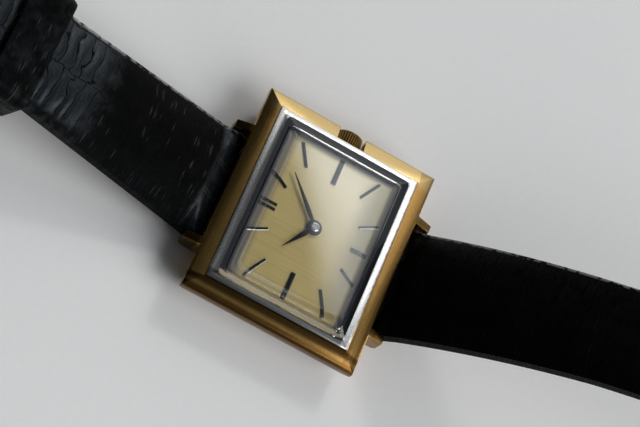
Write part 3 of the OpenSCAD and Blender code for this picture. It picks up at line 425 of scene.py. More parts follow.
def side_turn():
    """Turn is 1 on a rectangle's 3 and 9 sides and 0 on the others; Reach grows outwards."""

    def build(w, source):
        x, y, _ = w.split(source["Place"])
        dx = w.minus(w.absolute(x), source["Half X"])
        dy = w.minus(w.absolute(y), source["Half Y"])
        gap = w.minus(dx, dy)
        return {"Turn": w.span(gap, -0.03, 0.03), "Reach": w.larger(dx, dy)}

    return shader_group(
        "side_turn",
        [("Place", VECTOR, None), ("Half X", FLOAT, 15.0), ("Half Y", FLOAT, 12.4)],
        [("Turn", FLOAT), ("Reach", FLOAT)],
        build,
    )


def leather_creases():
    """Creases across the strap and pores, from the leather's own lay."""

    def build(w, source):
        across, along, _ = w.split(source["Lay"])
        stretched = w.join(w.times(across, 0.35), w.times(along, 2.6), 0.0)
        lines = w.noise(stretched, 1, 4, 0.62)
        crease = w.span(w.absolute(w.minus(lines, 0.5)), 0.0, 0.07)
        cells = {"Vector": w.scaled(source["Lay"], 3.2), "Scale": 1.0}
        pores = w.add("ShaderNodeTexVoronoi", cells, feature="DISTANCE_TO_EDGE")
        cell = w.span(pores.outputs["Distance"], 0.0, 0.16)
        wrinkle = w.blend(source["Creased"], 1.0, crease)
        height = w.plus(w.times(wrinkle, 0.75), w.times(cell, 0.25))
        return {"Height": height, "Crease": w.minus(1.0, wrinkle)}

    return shader_group(
        "leather_creases",
        [("Lay", VECTOR, None), ("Creased", FLOAT, 1.0)],
        [("Height", FLOAT), ("Crease", FLOAT)],
        build,
    )


def brushed(w, place, along, across, turn):
    inputs = {"Place": place, "Along": along, "Across": across, "Turn": turn}
    return w.group(satin_lines(), inputs)["Lines"]


def patched(w, place, size, amount, softness):
    inputs = {"Place": place, "Size": size, "Amount": amount, "Softness": softness}
    return w.group(worn_patches(), inputs)["Mask"]


def specked(w, place, pitch, fill):
    return w.group(fine_specks(), {"Place": place, "Pitch": pitch, "Fill": fill})["Mask"]


def start_material(name):
    """A new node material, its wiring and its Principled shader."""
    made = bpy.data.materials.new(name)
    made.use_nodes = True
    tree = made.node_tree
    w = Wiring(tree)
    shader = next(n for n in tree.nodes if n.bl_idname == "ShaderNodeBsdfPrincipled")
    return made, w, shader


def relief(w, shader, height, depth, strength=1.0):
    """Joins a height, with its depth in millimetres, to the shader's normal."""
    inputs = {"Strength": strength, "Distance": depth * MM, "Height": height}
    w.feed(shader.inputs["Normal"], w.add("ShaderNodeBump", inputs).outputs["Normal"])


def surface(w, shader, base, rough, metallic=1.0):
    """Joins a finish's colour, roughness and metal to its shader."""
    w.feed(shader.inputs["Base Color"], base)
    w.feed(shader.inputs["Roughness"], rough)
    w.feed(shader.inputs["Metallic"], metallic)


# An edge that no piece reaches, for gilding with no seat and no corner
NOWHERE = -100.0


def gilt_finish(name, gold, worn, half, wear, satin=1.0, seat_edge=NOWHERE, corner_edge=NOWHERE):
    """Brushed gilding with the lines along each side, browned in patches."""
    made, w, shader = start_material(name)
    place = w.place()
    side = w.group(side_turn(), {"Place": place, "Half X": half[0], "Half Y": half[1]})
    lines = brushed(w, place, 0.14, 5.0, side["Turn"])
    patches = patched(w, place, 4.5, wear, 0.3)
    rubbed = patched(w, place, 1.3, wear * 0.7, 0.12)
    specks = specked(w, place, 0.55, 0.34)
    x, y, _ = w.split(place)
    streak = w.span(lines, 0.3, 0.7)
    tone = w.mix(w.times(patches, 0.62), colour(gold), colour(worn))
    tone = w.mix(w.times(streak, 0.22 * satin), tone, shaded(gold, 0.62))
    tone = w.mix(w.times(rubbed, 0.3), tone, colour([c * 0.7 + 0.04 for c in worn]))
    tone = w.mix(w.times(specks, 0.55), tone, shaded(worn, 0.35))
    # Painted highlight: paler on the crown side; in the corner against the ring, painted shade with
    # some dirt
    crown_side = w.span(x, 12.0, 13.2)
    tone = w.mix(w.times(crown_side, 0.75 * satin), tone, (0.7, 0.53, 0.25, 1))
    corner = w.fade(side["Reach"], corner_edge + 0.02, corner_edge + 0.3)
    tone = w.mix(w.times(corner, 0.93), tone, DIRT_AND_SHADE)
    # Painted shade, with some dirt on the slope at 9: on the outer edge and the slope at 9, on the
    # slope at 6 and on the lugs, more so at 12
    outer = w.span(x, -13.9, -14.5)
    slope = w.times(w.span(x, -14.1, -13.4), w.span(x, -12.8, -13.0))
    below = w.span(y, -10.3, -10.6)
    beyond = w.absolute(y)
    lugs = w.times(w.span(beyond, 12.45, 12.9), w.fade(beyond, 20.0, 21.0))
    lugs = w.times(lugs, w.span(y, -2.0, 2.0, 0.2, 0.8))
    painted_shade = ((outer, 0.9, 0.35), (slope, 0.85, 0.2), (below, 0.45, 0.55), (lugs, 1.0, 0.3))
    for mask, share, shade in painted_shade:
        tone = w.mix(w.times(mask, share * satin), tone, shaded(worn, shade))
    # The seat under the crystal is painted slate as shade for the border's dark band, and painted pale
    # at 9 as the dial's reflection through the border
    seat = w.fade(side["Reach"], seat_edge - 0.02, seat_edge + 0.02)
    pale = w.span(x, -10.9, -11.1)
    tone = w.mix(seat, tone, w.mix(pale, SLATE, (0.6, 0.54, 0.4, 1)))
    rough = w.plus(0.17, w.times(lines, 0.16 * satin))
    rough = w.plus(rough, w.times(patches, 0.1), w.times(seat, 0.3))
    surface(w, shader, tone, rough, w.minus(1.0, seat))
    relief(w, shader, lines, 0.005 * satin + 0.002)
    return made


def crown_finish(gold, worn, radius, height):
    """Gilding on the crests of the crown's ribs and on its end, and dark down between them."""
    made, w, shader = start_material("crown_gilding")
    place = w.place()
    x, y, z = w.split(place)
    off_axis = w.join(0.0, y, w.minus(z, height))
    out = w.length(off_axis)
    grain = w.noise(w.scaled(place, 4.0), 1, 3, 0.6)
    crest = w.span(out, radius - 0.13, radius - 0.01)
    end = w.span(x, CASE_HIGH.x - 0.1, CASE_HIGH.x + 0.15)
    bright = w.mix(w.span(grain, 0.3, 0.7), shaded(gold, 0.5), shaded(gold, 0.8))
    base = w.mix(w.larger(crest, end), shaded(worn, 0.1), bright)
    surface(w, shader, base, w.plus(0.24, w.times(grain, 0.2)))
    relief(w, shader, grain, 0.004)
    return made


def plated_ring_finish(silver, wear):
    """Silver plating: grained and painted in shade on the 12 and 9 sides, painted whiter as a highlight
    at 6, and chipped away along the 6 side.
    """
    made, w, shader = start_material("plated_ring")
    place = w.place()
    x, y, z = w.split(place)
    half_x, half_y = RING_HIGH.x, RING_HIGH.y
    grain = w.noise(w.scaled(place, 7.5), 1, 3, 0.7)
    specks = specked(w, place, 0.34, 0.55)
    toward_12 = w.span(y, half_y - 1.3, half_y - 1.0)
    toward_9 = w.span(x, 1.3 - half_x, 1.0 - half_x)
    toward_6 = w.span(y, 1.3 - half_y, 1.0 - half_y)
    reach = w.group(side_turn(), {"Place": place, "Half X": half_x, "Half Y": half_y})["Reach"]
    inwards = w.fade(reach, -0.9, -0.35)
    base = w.mix(w.span(grain, 0.35, 0.7), shaded(silver, 0.86), colour(silver))
    # Painted shade: the 12 side is a mottled grey and the 9 side dark, both darker next to the crystal;
    # the 6 side is painted whiter as a highlight
    grey = w.mix(w.span(grain, 0.42, 0.58), (0.5, 0.5, 0.49, 1), (1.0, 1.0, 0.98, 1))
    grey = w.mix(w.times(inwards, 0.9), grey, (0.05, 0.05, 0.05, 1))
    dull = w.mix(inwards, (0.3, 0.3, 0.3, 1), (0.04, 0.04, 0.04, 1))
    base = w.mix(toward_12, base, grey)
    base = w.mix(toward_9, base, dull)
    base = w.mix(w.times(toward_6, 0.8), base, WHITE)
    base = w.mix(w.times(specks, 0.4), base, (0.12, 0.11, 0.1, 1))
    # The plating ends in a ragged line a little inside the outer edge of the 6 side
    ragged = w.noise(w.join(w.times(x, 1.1), 0.0, 0.0), 1, 5, 0.7)
    past = w.minus(w.times(y, -1.0), half_y - 0.34)
    chip = w.math("GREATER_THAN", w.plus(past, w.times(ragged, 1.3 * wear)), 0.5)
    brass = w.mix(grain, (0.5, 0.31, 0.12, 1), (0.28, 0.17, 0.07, 1))
    base = w.mix(w.times(chip, 0.85), base, brass)
    # Painted shade on the ring's low upright wall
    side_wall = w.fade(z, RING_HIGH.z - 0.12, RING_HIGH.z - 0.04)
    base = w.mix(w.times(side_wall, 0.75), base, (0.045, 0.04, 0.035, 1))
    surface(w, shader, base, w.plus(0.2, w.times(grain, 0.18)))
    # The flat slopes a little outwards on every side
    height = w.times(w.plus(grain, w.times(chip, -0.5)), 0.006)
    relief(w, shader, w.minus(height, w.times(reach, 0.11)), 1.0)
    return made


def steel_finish(name, tint, rough=0.28, turn=0.0):
    """Satin steel with light scratches."""
    made, w, shader = start_material(name)
    place = w.place()
    lines = brushed(w, place, 0.5, 9.0, turn)
    patches = patched(w, place, 3.0, 0.45, 0.3)
    base = w.mix(w.span(lines, 0.3, 0.7), colour(tint), shaded(tint, 0.74))
    base = w.mix(w.times(patches, 0.25), base, shaded(tint, 0.5))
    surface(w, shader, base, w.plus(rough, w.times(w.plus(lines, patches), 0.12)))
    relief(w, shader, lines, 0.004)
    return made


def acrylic_finish():
    """Clear acrylic; lamps reach the dial through it by its shadow rays."""
    made, w, shader = start_material("clear_acrylic")
    place = w.place()
    scuffs = brushed(w, place, 0.6, 14.0, 0.3)
    surface(w, shader, WHITE, w.span(scuffs, 0.7, 0.85, 0.0, 0.014), 0.0)
    shader.inputs["Transmission Weight"].default_value = 1.0
    shader.inputs["IOR"].default_value = 1.49
    # The scuffs are only on the flat top
    flat = w.span(w.split(place)[2], GLASS_HIGH.z - 0.02, GLASS_HIGH.z - 0.005)
    relief(w, shader, w.times(scuffs, flat), 0.0001, 0.1)
    clear = w.add("ShaderNodeBsdfTransparent")
    path = w.add("ShaderNodeLightPath")
    both = w.add("ShaderNodeMixShader")
    w.feed(both.inputs[0], w.times(path.outputs["Is Shadow Ray"], 0.94))
    w.feed(both.inputs[1], shader.outputs[0])
    w.feed(both.inputs[2], clear.outputs[0])
    out = next(n for n in made.node_tree.nodes if n.bl_idname == "ShaderNodeOutputMaterial")
    w.feed(out.inputs["Surface"], both.outputs[0])
    return made


def dial_finish(champagne):
    """Satin champagne lacquer over metal, brushed from 12 to 6."""
    made, w, shader = start_material("satin_champagne")
    place = w.place()
    lines = brushed(w, place, 0.08, 11.0, 1.0)
    broad = w.noise(w.scaled(place, 0.16), 1, 2, 0.5)
    aged = specked(w, place, 1.3, 0.13)
    light = colour([min(1.0, c * 1.1) for c in champagne])
    base = w.mix(w.span(lines, 0.3, 0.7), shaded(champagne, 0.87), light)
    base = w.mix(w.times(w.span(broad, 0.35, 0.7), 0.22), base, light)
    base = w.mix(w.times(aged, 0.5), base, (0.1, 0.08, 0.04, 1))
    # A painted sheen pales the lacquer towards the corner between 3 and 6
    x, y, _ = w.split(place)
    across = w.minus(w.times(x, 0.75), w.times(y, 0.66))
    base = w.mix(w.times(w.span(across, -2.0, 8.0), 0.75), base, (0.69, 0.64, 0.49, 1))
    # Painted shade: the rim under the crystal's border is painted slate grey, and a painted shadow
    # darkens the dial towards it, less at 9
    rim = w.larger(w.span(x, 10.15, 10.7), w.span(y, -7.35, -7.75))
    rim = w.larger(rim, w.times(w.span(y, 6.0, 7.5), 0.95))
    shade = w.larger(w.span(x, 9.5, 10.4), w.span(y, -3.0, -7.2))
    shade = w.larger(shade, w.times(w.span(x, -8.8, -9.5), 0.6))
    base = w.mix(w.times(shade, 0.8), base, shaded(champagne, 0.4))
    base = w.mix(rim, base, SLATE)
    surface(w, shader, base, w.plus(0.36, w.times(lines, 0.16)), w.blend(rim, 0.55, 0.0))
    # A slight dome lets the light grow across the dial
    dome = w.times(w.plus(w.times(x, x), w.times(y, y)), 0.004)
    relief(w, shader, w.minus(w.times(lines, 0.0025), dome), 1.0)
    return made


def marker_finish(tint):
    """Diamond-cut markers: bright sides with fine cutting lines, and dark flat tops."""
    made, w, shader = start_material("cut_markers")
    place = w.place()
    lines = brushed(w, place, 1.0, 16.0, 0.5)
    sides = w.mix(w.span(lines, 0.3, 0.7), (0.3, 0.3, 0.3, 1), (0.2, 0.2, 0.2, 1))
    top = w.span(w.split(place)[2], MARKER_TOP - 0.035, MARKER_TOP - 0.015)
    surface(w, shader, w.mix(top, sides, colour(tint)), w.plus(0.1, w.times(lines, 0.12)))
    relief(w, shader, lines, 0.002)
    return made


def hand_finish(name, ink, hub_r, dome_r):
    """Blackened steel with a polished hub at the centre."""
    made, w, shader = start_material(name)
    place = w.place()
    x, y, _ = w.split(place)
    length = w.length(w.join(x, y, 0.0))
    lines = brushed(w, place, 1.0, 14.0, 0.4)
    hub = w.fade(length, hub_r - 0.02, hub_r + 0.02)
    dome = w.fade(length, dome_r - 0.02, dome_r + 0.02)
    base = w.mix(w.span(lines, 0.3, 0.7), colour(ink), shaded(ink, 1.8))
    base = w.mix(hub, base, (0.012, 0.013, 0.016, 1))
    base = w.mix(dome, base, (0.55, 0.55, 0.55, 1))
    rough = w.plus(w.times(lines, 0.08), w.blend(dome, 0.3, 0.1))
    surface(w, shader, base, rough, w.times(hub, 0.9))
    shader.inputs["Specular IOR Level"].default_value = 0.06
    relief(w, shader, lines, 0.002)
    return made


def plate_finish(name, tint, pattern):
    """Gilt movement brass with round graining spots or straight stripes."""
    made, w, shader = start_material(name)
    place = w.place()
    if pattern == "spots":
        spots = {"Vector": w.scaled(place, 1.6), "Scale": 1.0, "Randomness": 0.25}
        cells = w.add("ShaderNodeTexVoronoi", spots, feature="F1")
        wave = w.math("SINE", w.times(cells.outputs["Distance"], 38.0))
        grain = w.span(wave, -1.0, 1.0)
    else:
        stripes = w.math("SINE", w.times(w.split(place)[0], 2.4))
        grain = w.blend(0.5, w.span(stripes, -1.0, 1.0), brushed(w, place, 0.4, 10.0, 1.0))
    base = w.mix(grain, shaded(tint, 0.68), colour(tint))
    surface(w, shader, base, w.plus(0.24, w.times(grain, 0.16)))
    relief(w, shader, grain, 0.01)
    return made


def wheel_finish(name, tint, rough=0.2, steel_above=100.0):
    """Turned metal with a fine grain; above a height it is steel whatever its tint."""
    made, w, shader = start_material(name)
    place = w.place()
    grain = w.noise(w.scaled(place, 5.0), 1, 3, 0.6)
    both = w.blend(0.5, grain, brushed(w, place, 1.2, 12.0, 0.5))
    base = w.mix(w.span(both, 0.3, 0.7), shaded(tint, 0.72), colour(tint))
    above = w.math("GREATER_THAN", w.split(place)[2], steel_above)
    base = w.mix(above, base, (0.42, 0.42, 0.43, 1))
    surface(w, shader, base, w.plus(rough, w.times(both, 0.14)))
    relief(w, shader, both, 0.004)
    return made


def ruby_finish():
    """Clear red bearing stone with faint clouds."""
    made, w, shader = start_material("ruby_stone")
    cloud = w.noise(w.scaled(w.place(), 2.4), 1, 3, 0.5)
    base = w.mix(cloud, (0.36, 0.004, 0.03, 1), (0.75, 0.02, 0.09, 1))
    surface(w, shader, base, w.times(cloud, 0.12), 0.0)
    shader.inputs["IOR"].default_value = 1.76
    relief(w, shader, cloud, 0.002)
    return made


# How far a row of scales strays from its even pitch
UNEVEN = 0.3


def scale_gap(w, lay, row, column, uneven):
    """Distance in mm to the nearest line between two scales, in shader or geometry nodes."""
    across, along, _ = w.split(lay)
    wander = w.times(w.minus(w.noise(w.scaled(lay, 0.33), 1, 3, 0.6), 0.5), 2.6)
    place = w.math("DIVIDE", w.plus(across, wander), column)
    off = w.absolute(w.minus(place, w.math("ROUND", place)))
    to_middle = w.times(off, column)
    side = w.math("FLOOR", place)
    bend = w.noise(w.join(w.times(across, 0.3), w.times(along, 0.5), w.times(side, 5.3)), 1, 2, 0.5)
    bend = w.times(w.minus(bend, 0.5), 6.0, uneven)
    turn = w.plus(w.math("DIVIDE", along, row), w.times(side, 0.37))
    turn = w.math("FRACT", w.plus(turn, bend))
    to_row = w.minus(0.5, w.absolute(w.minus(turn, 0.5)))
    return w.math("MINIMUM", to_middle, w.times(to_row, row))


def strap_attribute(w, name, output="Fac"):
    """A value that the leather's mesh keeps with each point."""
    return w.add("ShaderNodeAttribute", attribute_name=name).outputs[output]


def scaled_top(w, base, lay, broad, row, column):
    """Draws the big scales with a painted sheen, the roll at the lugs with painted highlights, and
    light dashes and a light edge painted as highlights.

    Returns the colour, how strongly the scales show and the lines between them.
    """
    across, along, out = w.split(lay)
    # The big scales, and the sheen painted on them, fade out in a ragged edge and towards the edge on
    # the 9 side
    ragged = w.times(w.minus(w.noise(w.scaled(lay, 0.55), 1, 3, 0.6), 0.5), 0.9)
    soft = w.span(w.plus(strap_attribute(w, "scaled"), ragged), 0.15, 0.95)
    soft = w.times(soft, w.span(across, -6.4, -4.6, 0.1, 1.0))
    line = w.fade(scale_gap(w, lay, row, column, UNEVEN), 0.02, 0.13)
    # Where the leather is wrapped round the bar it has two cuts along the strap instead
    roll = w.fade(along, 2.0, 2.6)
    cut = w.absolute(w.minus(w.absolute(across), w.blend(broad, 1.9, 2.9)))
    line = w.blend(roll, line, w.fade(cut, 0.04, 0.14))
    line = w.times(line, soft)
    # Painted light: a bluish sheen on the big scales and highlights along the lips of the cuts
    lip = w.times(roll, soft, w.fade(cut, 0.14, 0.36))
    base = w.mix(w.times(soft, 0.8), base, (0.005, 0.006, 0.0075, 1))
    base = w.mix(w.times(lip, 0.35), base, (0.05, 0.06, 0.075, 1))
    base = w.mix(line, base, (0.0006, 0.0006, 0.0006, 1))
    # Short light dashes painted as highlights where the creases catch light, fewer on the half at 6
    laid = w.join(w.times(across, 0.28), w.times(along, 3.4), 0.0)
    dash = w.group(fine_specks(), {"Place": laid, "Pitch": 0.8, "Fill": 0.9})
    dashes = w.times(dash["Mask"], w.span(dash["Tint"], 0.35, 0.7), w.span(broad, 0.4, 0.58))
    toward_12 = w.span(w.split(w.place())[1], -2.0, 2.0, 0.2, 1.0)
    dashes = w.times(dashes, w.minus(1.0, soft), toward_12)
    base = w.mix(w.times(dashes, 0.7), base, (0.05, 0.05, 0.055, 1))
    # A light grey highlight is painted along the edge on the crown's side, broken in places
    rim = w.times(strap_attribute(w, "rim"), w.math("GREATER_THAN", across, 0.0))
    worn = w.noise(w.scaled(lay, 1.3), 1, 3, 0.6)
    edge = w.times(rim, w.span(out, 0.22, 0.38), w.span(worn, 0.4, 0.55))
    return w.mix(w.times(edge, 0.85), base, (0.3, 0.3, 0.29, 1)), soft, line


def start_leather(name, tint, creased, rough):
    """Dark leather with creases and pores, laid by the strap's own attributes.

    With no share for the creases, they lie where the big scales don't.
    """
    made, w, shader = start_material(name)
    lay = strap_attribute(w, "lay", "Vector")
    groove = strap_attribute(w, "groove")
    if creased is None:
        creased = w.minus(1.0, strap_attribute(w, "scaled"))
    folds = w.group(leather_creases(), {"Lay": lay, "Creased": creased})
    broad = w.noise(w.scaled(lay, 0.35), 1, 3, 0.55)
    patches = patched(w, lay, 2.4, 0.4, 0.22)
    light = colour([min(1.0, c * 1.6 + 0.0004) for c in tint])
    base = w.mix(w.span(broad, 0.3, 0.75), colour(tint), light)
    # Painted shade in the grooves between the scales
    base = w.mix(w.times(groove, 0.5), base, shaded(tint, 0.45))
    rough = w.plus(rough, w.times(groove, 0.3), w.times(patches, 0.14), w.times(folds["Crease"], 0.2))
    surface(w, shader, base, rough, 0.0)
    return made, w, shader, (lay, broad, base, folds["Height"])


def lining_finish(tint):
    """Plain leather against the wrist."""
    made, w, shader, (_, _, _, height) = start_leather("lining_leather", tint, 0.35, 0.5)
    shader.inputs["Specular IOR Level"].default_value = 0.2
    relief(w, shader, height, 0.06, 0.6)
    return made


def leather_finish(tint, row, column):
    """Leather with big glazed scales and a dull creased stretch between them."""
    parts = start_leather("glazed_leather", tint, None, 0.24)
    made, w, shader, (lay, broad, base, height) = parts
    base, soft, line = scaled_top(w, base, lay, broad, row, column)
    w.feed(shader.inputs["Base Color"], base)
    glaze = w.times(w.blend(soft, 0.02, 0.3), w.minus(1.0, w.times(line, 0.95)))
    w.feed(shader.inputs["Specular IOR Level"], glaze)
    shader.inputs["Specular Tint"].default_value = (0.75, 0.88, 1.0, 1)
    relief(w, shader, w.minus(height, w.times(line, 1.3)), 0.045, 0.6)
    return made


# Meshes


def new_piece(name, mesh):
    """A new object in the scene for a mesh."""
    made = bpy.data.objects.new(name, mesh)
    bpy.context.scene.collection.objects.link(made)
    return made


def smooth(mesh, angle):
    """Shades a mesh smooth, with edges sharper than the angle kept."""
    for face in mesh.polygons:
        face.use_smooth = True
    mesh.set_sharp_from_angle(angle=math.radians(angle))


def plain_mesh(piece):
    """The piece with its modifiers carried out, as a mesh of its own."""
    bpy.context.view_layer.update()
    graph = bpy.context.evaluated_depsgraph_get()
    mesh = bpy.data.meshes.new_from_object(piece.evaluated_get(graph))
    piece.modifiers.clear()
    old = piece.data
    piece.data = mesh
    bpy.data.meshes.remove(old)
    return mesh


def rounded_copy(node, width, segments=2, cutters=()):
    """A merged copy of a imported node, cut and with its edges rounded, standing for that node."""
    source = NODES[node]
    shape = bmesh.new()
    shape.from_mesh(source.data)
    bmesh.ops.remove_doubles(shape, verts=shape.verts, dist=MERGE)
    bmesh.ops.dissolve_limit(
        shape,
        angle_limit=FLAT,
        verts=shape.verts,
        edges=shape.edges,
        use_dissolve_boundaries=False,
    )
    mesh = bpy.data.meshes.new(node + "_finish")
    shape.to_mesh(mesh)
    shape.free()
    made = new_piece(node + "_finish", mesh)
    if cutters:
        cut_with(made, cutters)
    if width > 0:
        bevel = made.modifiers.new("edges", "BEVEL")
        bevel.width = width
        bevel.segments = segments
        bevel.limit_method = "ANGLE"
        bevel.angle_limit = SHARP
        plain_mesh(made)
    smooth(made.data, 40)
    return made


def dress(piece, body, material, slot, *nodes):
    """Gives a piece its material, the body it rides on and the nodes it stands for."""
    piece.data.materials.clear()
    piece.data.materials.append(material)
    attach(piece, body)
    if nodes:
        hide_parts(*nodes)
    return piece


def dress_node(node, material):
    """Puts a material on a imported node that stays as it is."""
    target = NODES[node]
    if not target.material_slots:
        target.data.materials.append(material)
    for place in target.material_slots:
        place.material = material


def rounded_plan(half_x, half_y, r, z, steps=8):
    """Points round a rectangle with rounded corners, anticlockwise from above."""
    points = []
    for cx, cy, start in (
        (half_x - r, half_y - r, 0),
        (-half_x + r, half_y - r, 90),
        (-half_x + r, -half_y + r, 180),
        (half_x - r, -half_y + r, 270),
    ):
        for i in range(steps + 1):
            a = math.radians(start + 90 * i / steps)
            points.append((cx + r * math.cos(a), cy + r * math.sin(a), z))
    return points


def lofted(name, rings, closed=False):
    """A mesh from rings of the same number of points, in millimetres, capped unless closed."""
    count = len(rings[0])
    shape = bmesh.new()
    rows = [[shape.verts.new(Vector(p) * MM) for p in ring] for ring in rings]
    pairs = list(zip(rows, rows[1:]))
    if closed:
        pairs.append((rows[-1], rows[0]))
    for a, b in pairs:
        for i in range(count):
            j = (i + 1) % count
            shape.faces.new((a[i], a[j], b[j], b[i]))
    if not closed:
        shape.faces.new(rows[0][::-1])
        shape.faces.new(rows[-1])
    bmesh.ops.recalc_face_normals(shape, faces=shape.faces)
    mesh = bpy.data.meshes.new(name)
    shape.to_mesh(mesh)
    shape.free()
    return mesh


# The two halves of the strap run along a straight, then an arc that bends down, in mm and
# degrees. The half at 12 turns by its whole tilt over the stretch past its straight.

STRAPS = {
    "strap_12": {
        "length": 75.0,
        "tilt": 17.4,
        "straight": 50.0,
        "curl": 25.0 * 180 / (math.pi * 17.4),
        "tail": False,
        "side": 1,
    },
    "strap_6": {
        "length": 115.0,
        "tilt": 47.0,
        "straight": 0.0,
        "curl": 98.0,
        "tail": True,
        "side": -1,
    },
}
# The lug bar, and the strap's sizes above and below its line
BAR_Y, BAR_Z = 13.5, 2.2
UNDER, EDGE, PAD_H, END_H = 1.15, 0.4, 2.6, 1.15
RISE, PAD_L, TAIL_L, LUG_ROLL = 3.6, 45.0, 8.0, 1.42
LUG_HALF, END_HALF, TAPER_L = 7.8, 6.9, 30.0
HOLES = [67.0 + 6.0 * i for i in range(7)]
HOLE_R = 0.9
SLOT_HALF, SLOT_IN, SLOT_OUT, THROUGH = 1.1, 3.5, 3.0, 4.0
# The keepers: where each starts, its width, leather and the room it leaves for the tail
KEEPER_S, KEEPER_W, KEEPER_IN = 28.7, 6.0, 2.0
FIXED_S, FIXED_W = 62.0, 5.0
KEEPER_T, TAIL_ROOM = 1.2, 2.4


def strap_point(form, s, out=0.0):
    """Y and Z of the strap's line at a distance from the lug bar, lifted by out."""
    tilt = math.radians(form["tilt"])
    l0, curl = form["straight"], form["curl"]
    a = tilt - max(0.0, s - l0) / curl
    y = min(s, l0) * math.cos(tilt) + curl * (math.sin(tilt) - math.sin(a))
    z = min(s, l0) * math.sin(tilt) + curl * (math.cos(a) - math.cos(tilt))
    return (
        form["side"] * (BAR_Y + y - out * math.sin(a)),
        BAR_Z + z + out * math.cos(a),
        a,
    )


def strap_half(s):
    """Half of the strap's width, a little more where it is rolled round the lug bar."""
    roll = 0.12 * max(0.0, 1 - max(0.0, s) / 3)
    if s > TAPER_L:
        return END_HALF
    return LUG_HALF - (LUG_HALF - END_HALF) * max(0.0, s) / TAPER_L + roll


def strap_height(s):
    """Height of the padded top over the strap's line."""
    if s < RISE:
        return UNDER + (PAD_H - UNDER) * math.sin(math.radians(90 * max(0.0, s) / RISE))
    return END_H + (PAD_H - END_H) * max(0.0, 1 - (s - RISE) / (PAD_L - RISE)) ** 2


def strap_section(half, high, low, edge, fall, top_steps=44, under_steps=10):
    """Across and out for one section: rounded bottom edges, upright sides, crowned top."""
    points = []
    for i in range(under_steps + 1):
        u = -1 + 2 * i / under_steps
        lift = 0.12 * max(0.0, (abs(u) - 0.9) / 0.1) ** 2
        points.append((half * u, -low + lift, 0))
    for i in range(1, top_steps):
        t = i / top_steps
        u = math.cos(math.pi * t)
        # Points are closer together at the edges, where the crown turns down
        u = math.copysign(abs(u) ** 0.8, u)
        out = edge + (high - edge) * (1 - abs(u) ** fall)
        points.append((half * u, out, 1))
    return points


def strap_stations(length, tail):
    """Distances along the strap, with the rounding at its ends as (s, shrink)."""
    turns = [math.radians(a) for a in (16, 32, 48, 66, 84)]
    rows = [(-LUG_ROLL * math.sin(a), math.cos(a)) for a in reversed(turns)]
    steps = round(length / 0.3)
    rows += [(length * i / steps, 1.0) for i in range(steps + 1)]
    if not tail:
        rows += [(length + UNDER * math.sin(a), math.cos(a)) for a in turns]
    return rows


def tail_half(form, s):
    """Half of the width with the tail's rounded tip."""
    half = strap_half(s)
    start = form["length"] - TAIL_L
    if form["tail"] and s > start:
        half *= math.sqrt(max(0.012, 1 - ((s - start) / TAIL_L) ** 2))
    return half


def nose(s):
    """1 at the lug bar, where the leather is wrapped round it, and 0 further along."""
    t = min(1.0, max(0.0, s) / 2.4)
    return 1 - t * t * (3 - 2 * t)


def clipped(value):
    """The value kept between 0 and 1."""
    return min(1.0, max(0.0, value))


def store_lay(mesh, lay, **values):
    """Keeps each point's across, along and out with it, and any other values by name."""
    flat = [c for point in lay for c in point]
    mesh.attributes.new("lay", "FLOAT_VECTOR", "POINT").data.foreach_set("vector", flat)
    for name, data in values.items():
        mesh.attributes.new(name, "FLOAT", "POINT").data.foreach_set("value", data)


def strap_mesh(name, form):
    """The smooth body of one strap half, with its lay, scale and lining attributes."""
    rings, lay, scaled, face_up, rim = [], [], [], [], []
    for s, shrink in strap_stations(form["length"], form["tail"]):
        half = tail_half(form, s)
        if form["tail"]:
            # The tail's edge is pared down towards its tip
            shrink *= 1 - 0.3 * max(0.0, (s - (form["length"] - 5)) / 5)
        ring = []
        edge, fall = EDGE + 0.62 * nose(s), 2.6 + 6 * nose(s)
        for across, out, top in strap_section(half, strap_height(s), UNDER, edge, fall):
            y, z, _ = strap_point(form, s, out * shrink)
            ring.append((across, y, z))
            lay.append((across, s, out))
            face_up.append(float(top))
            scaled.append(scale_share(name, s))
            rim.append(top * clipped((abs(across) / half - 0.93) / 0.04))
        rings.append(ring)
    mesh = lofted(name + "_leather", rings)
    store_lay(mesh, lay, scaled=scaled, top=face_up, rim=rim)
    return mesh


def scale_share(name, s):
    """How strongly the big scales, and the sheen painted on them, show at a distance along the strap.
    """
    if name == "strap_12":
        return clipped(clipped(3.0 - s) + clipped((s - 17.0) / 6.5))
    return clipped(max(0.0, 1 - s / 4.2) * 0.4 + clipped((s - 60) / 20) * 0.5)


def covered(w, before, material):
    """A Set Material node after another node."""
    inputs = {"Geometry": before.outputs[0], "Material": material}
    return w.add("GeometryNodeSetMaterial", inputs)


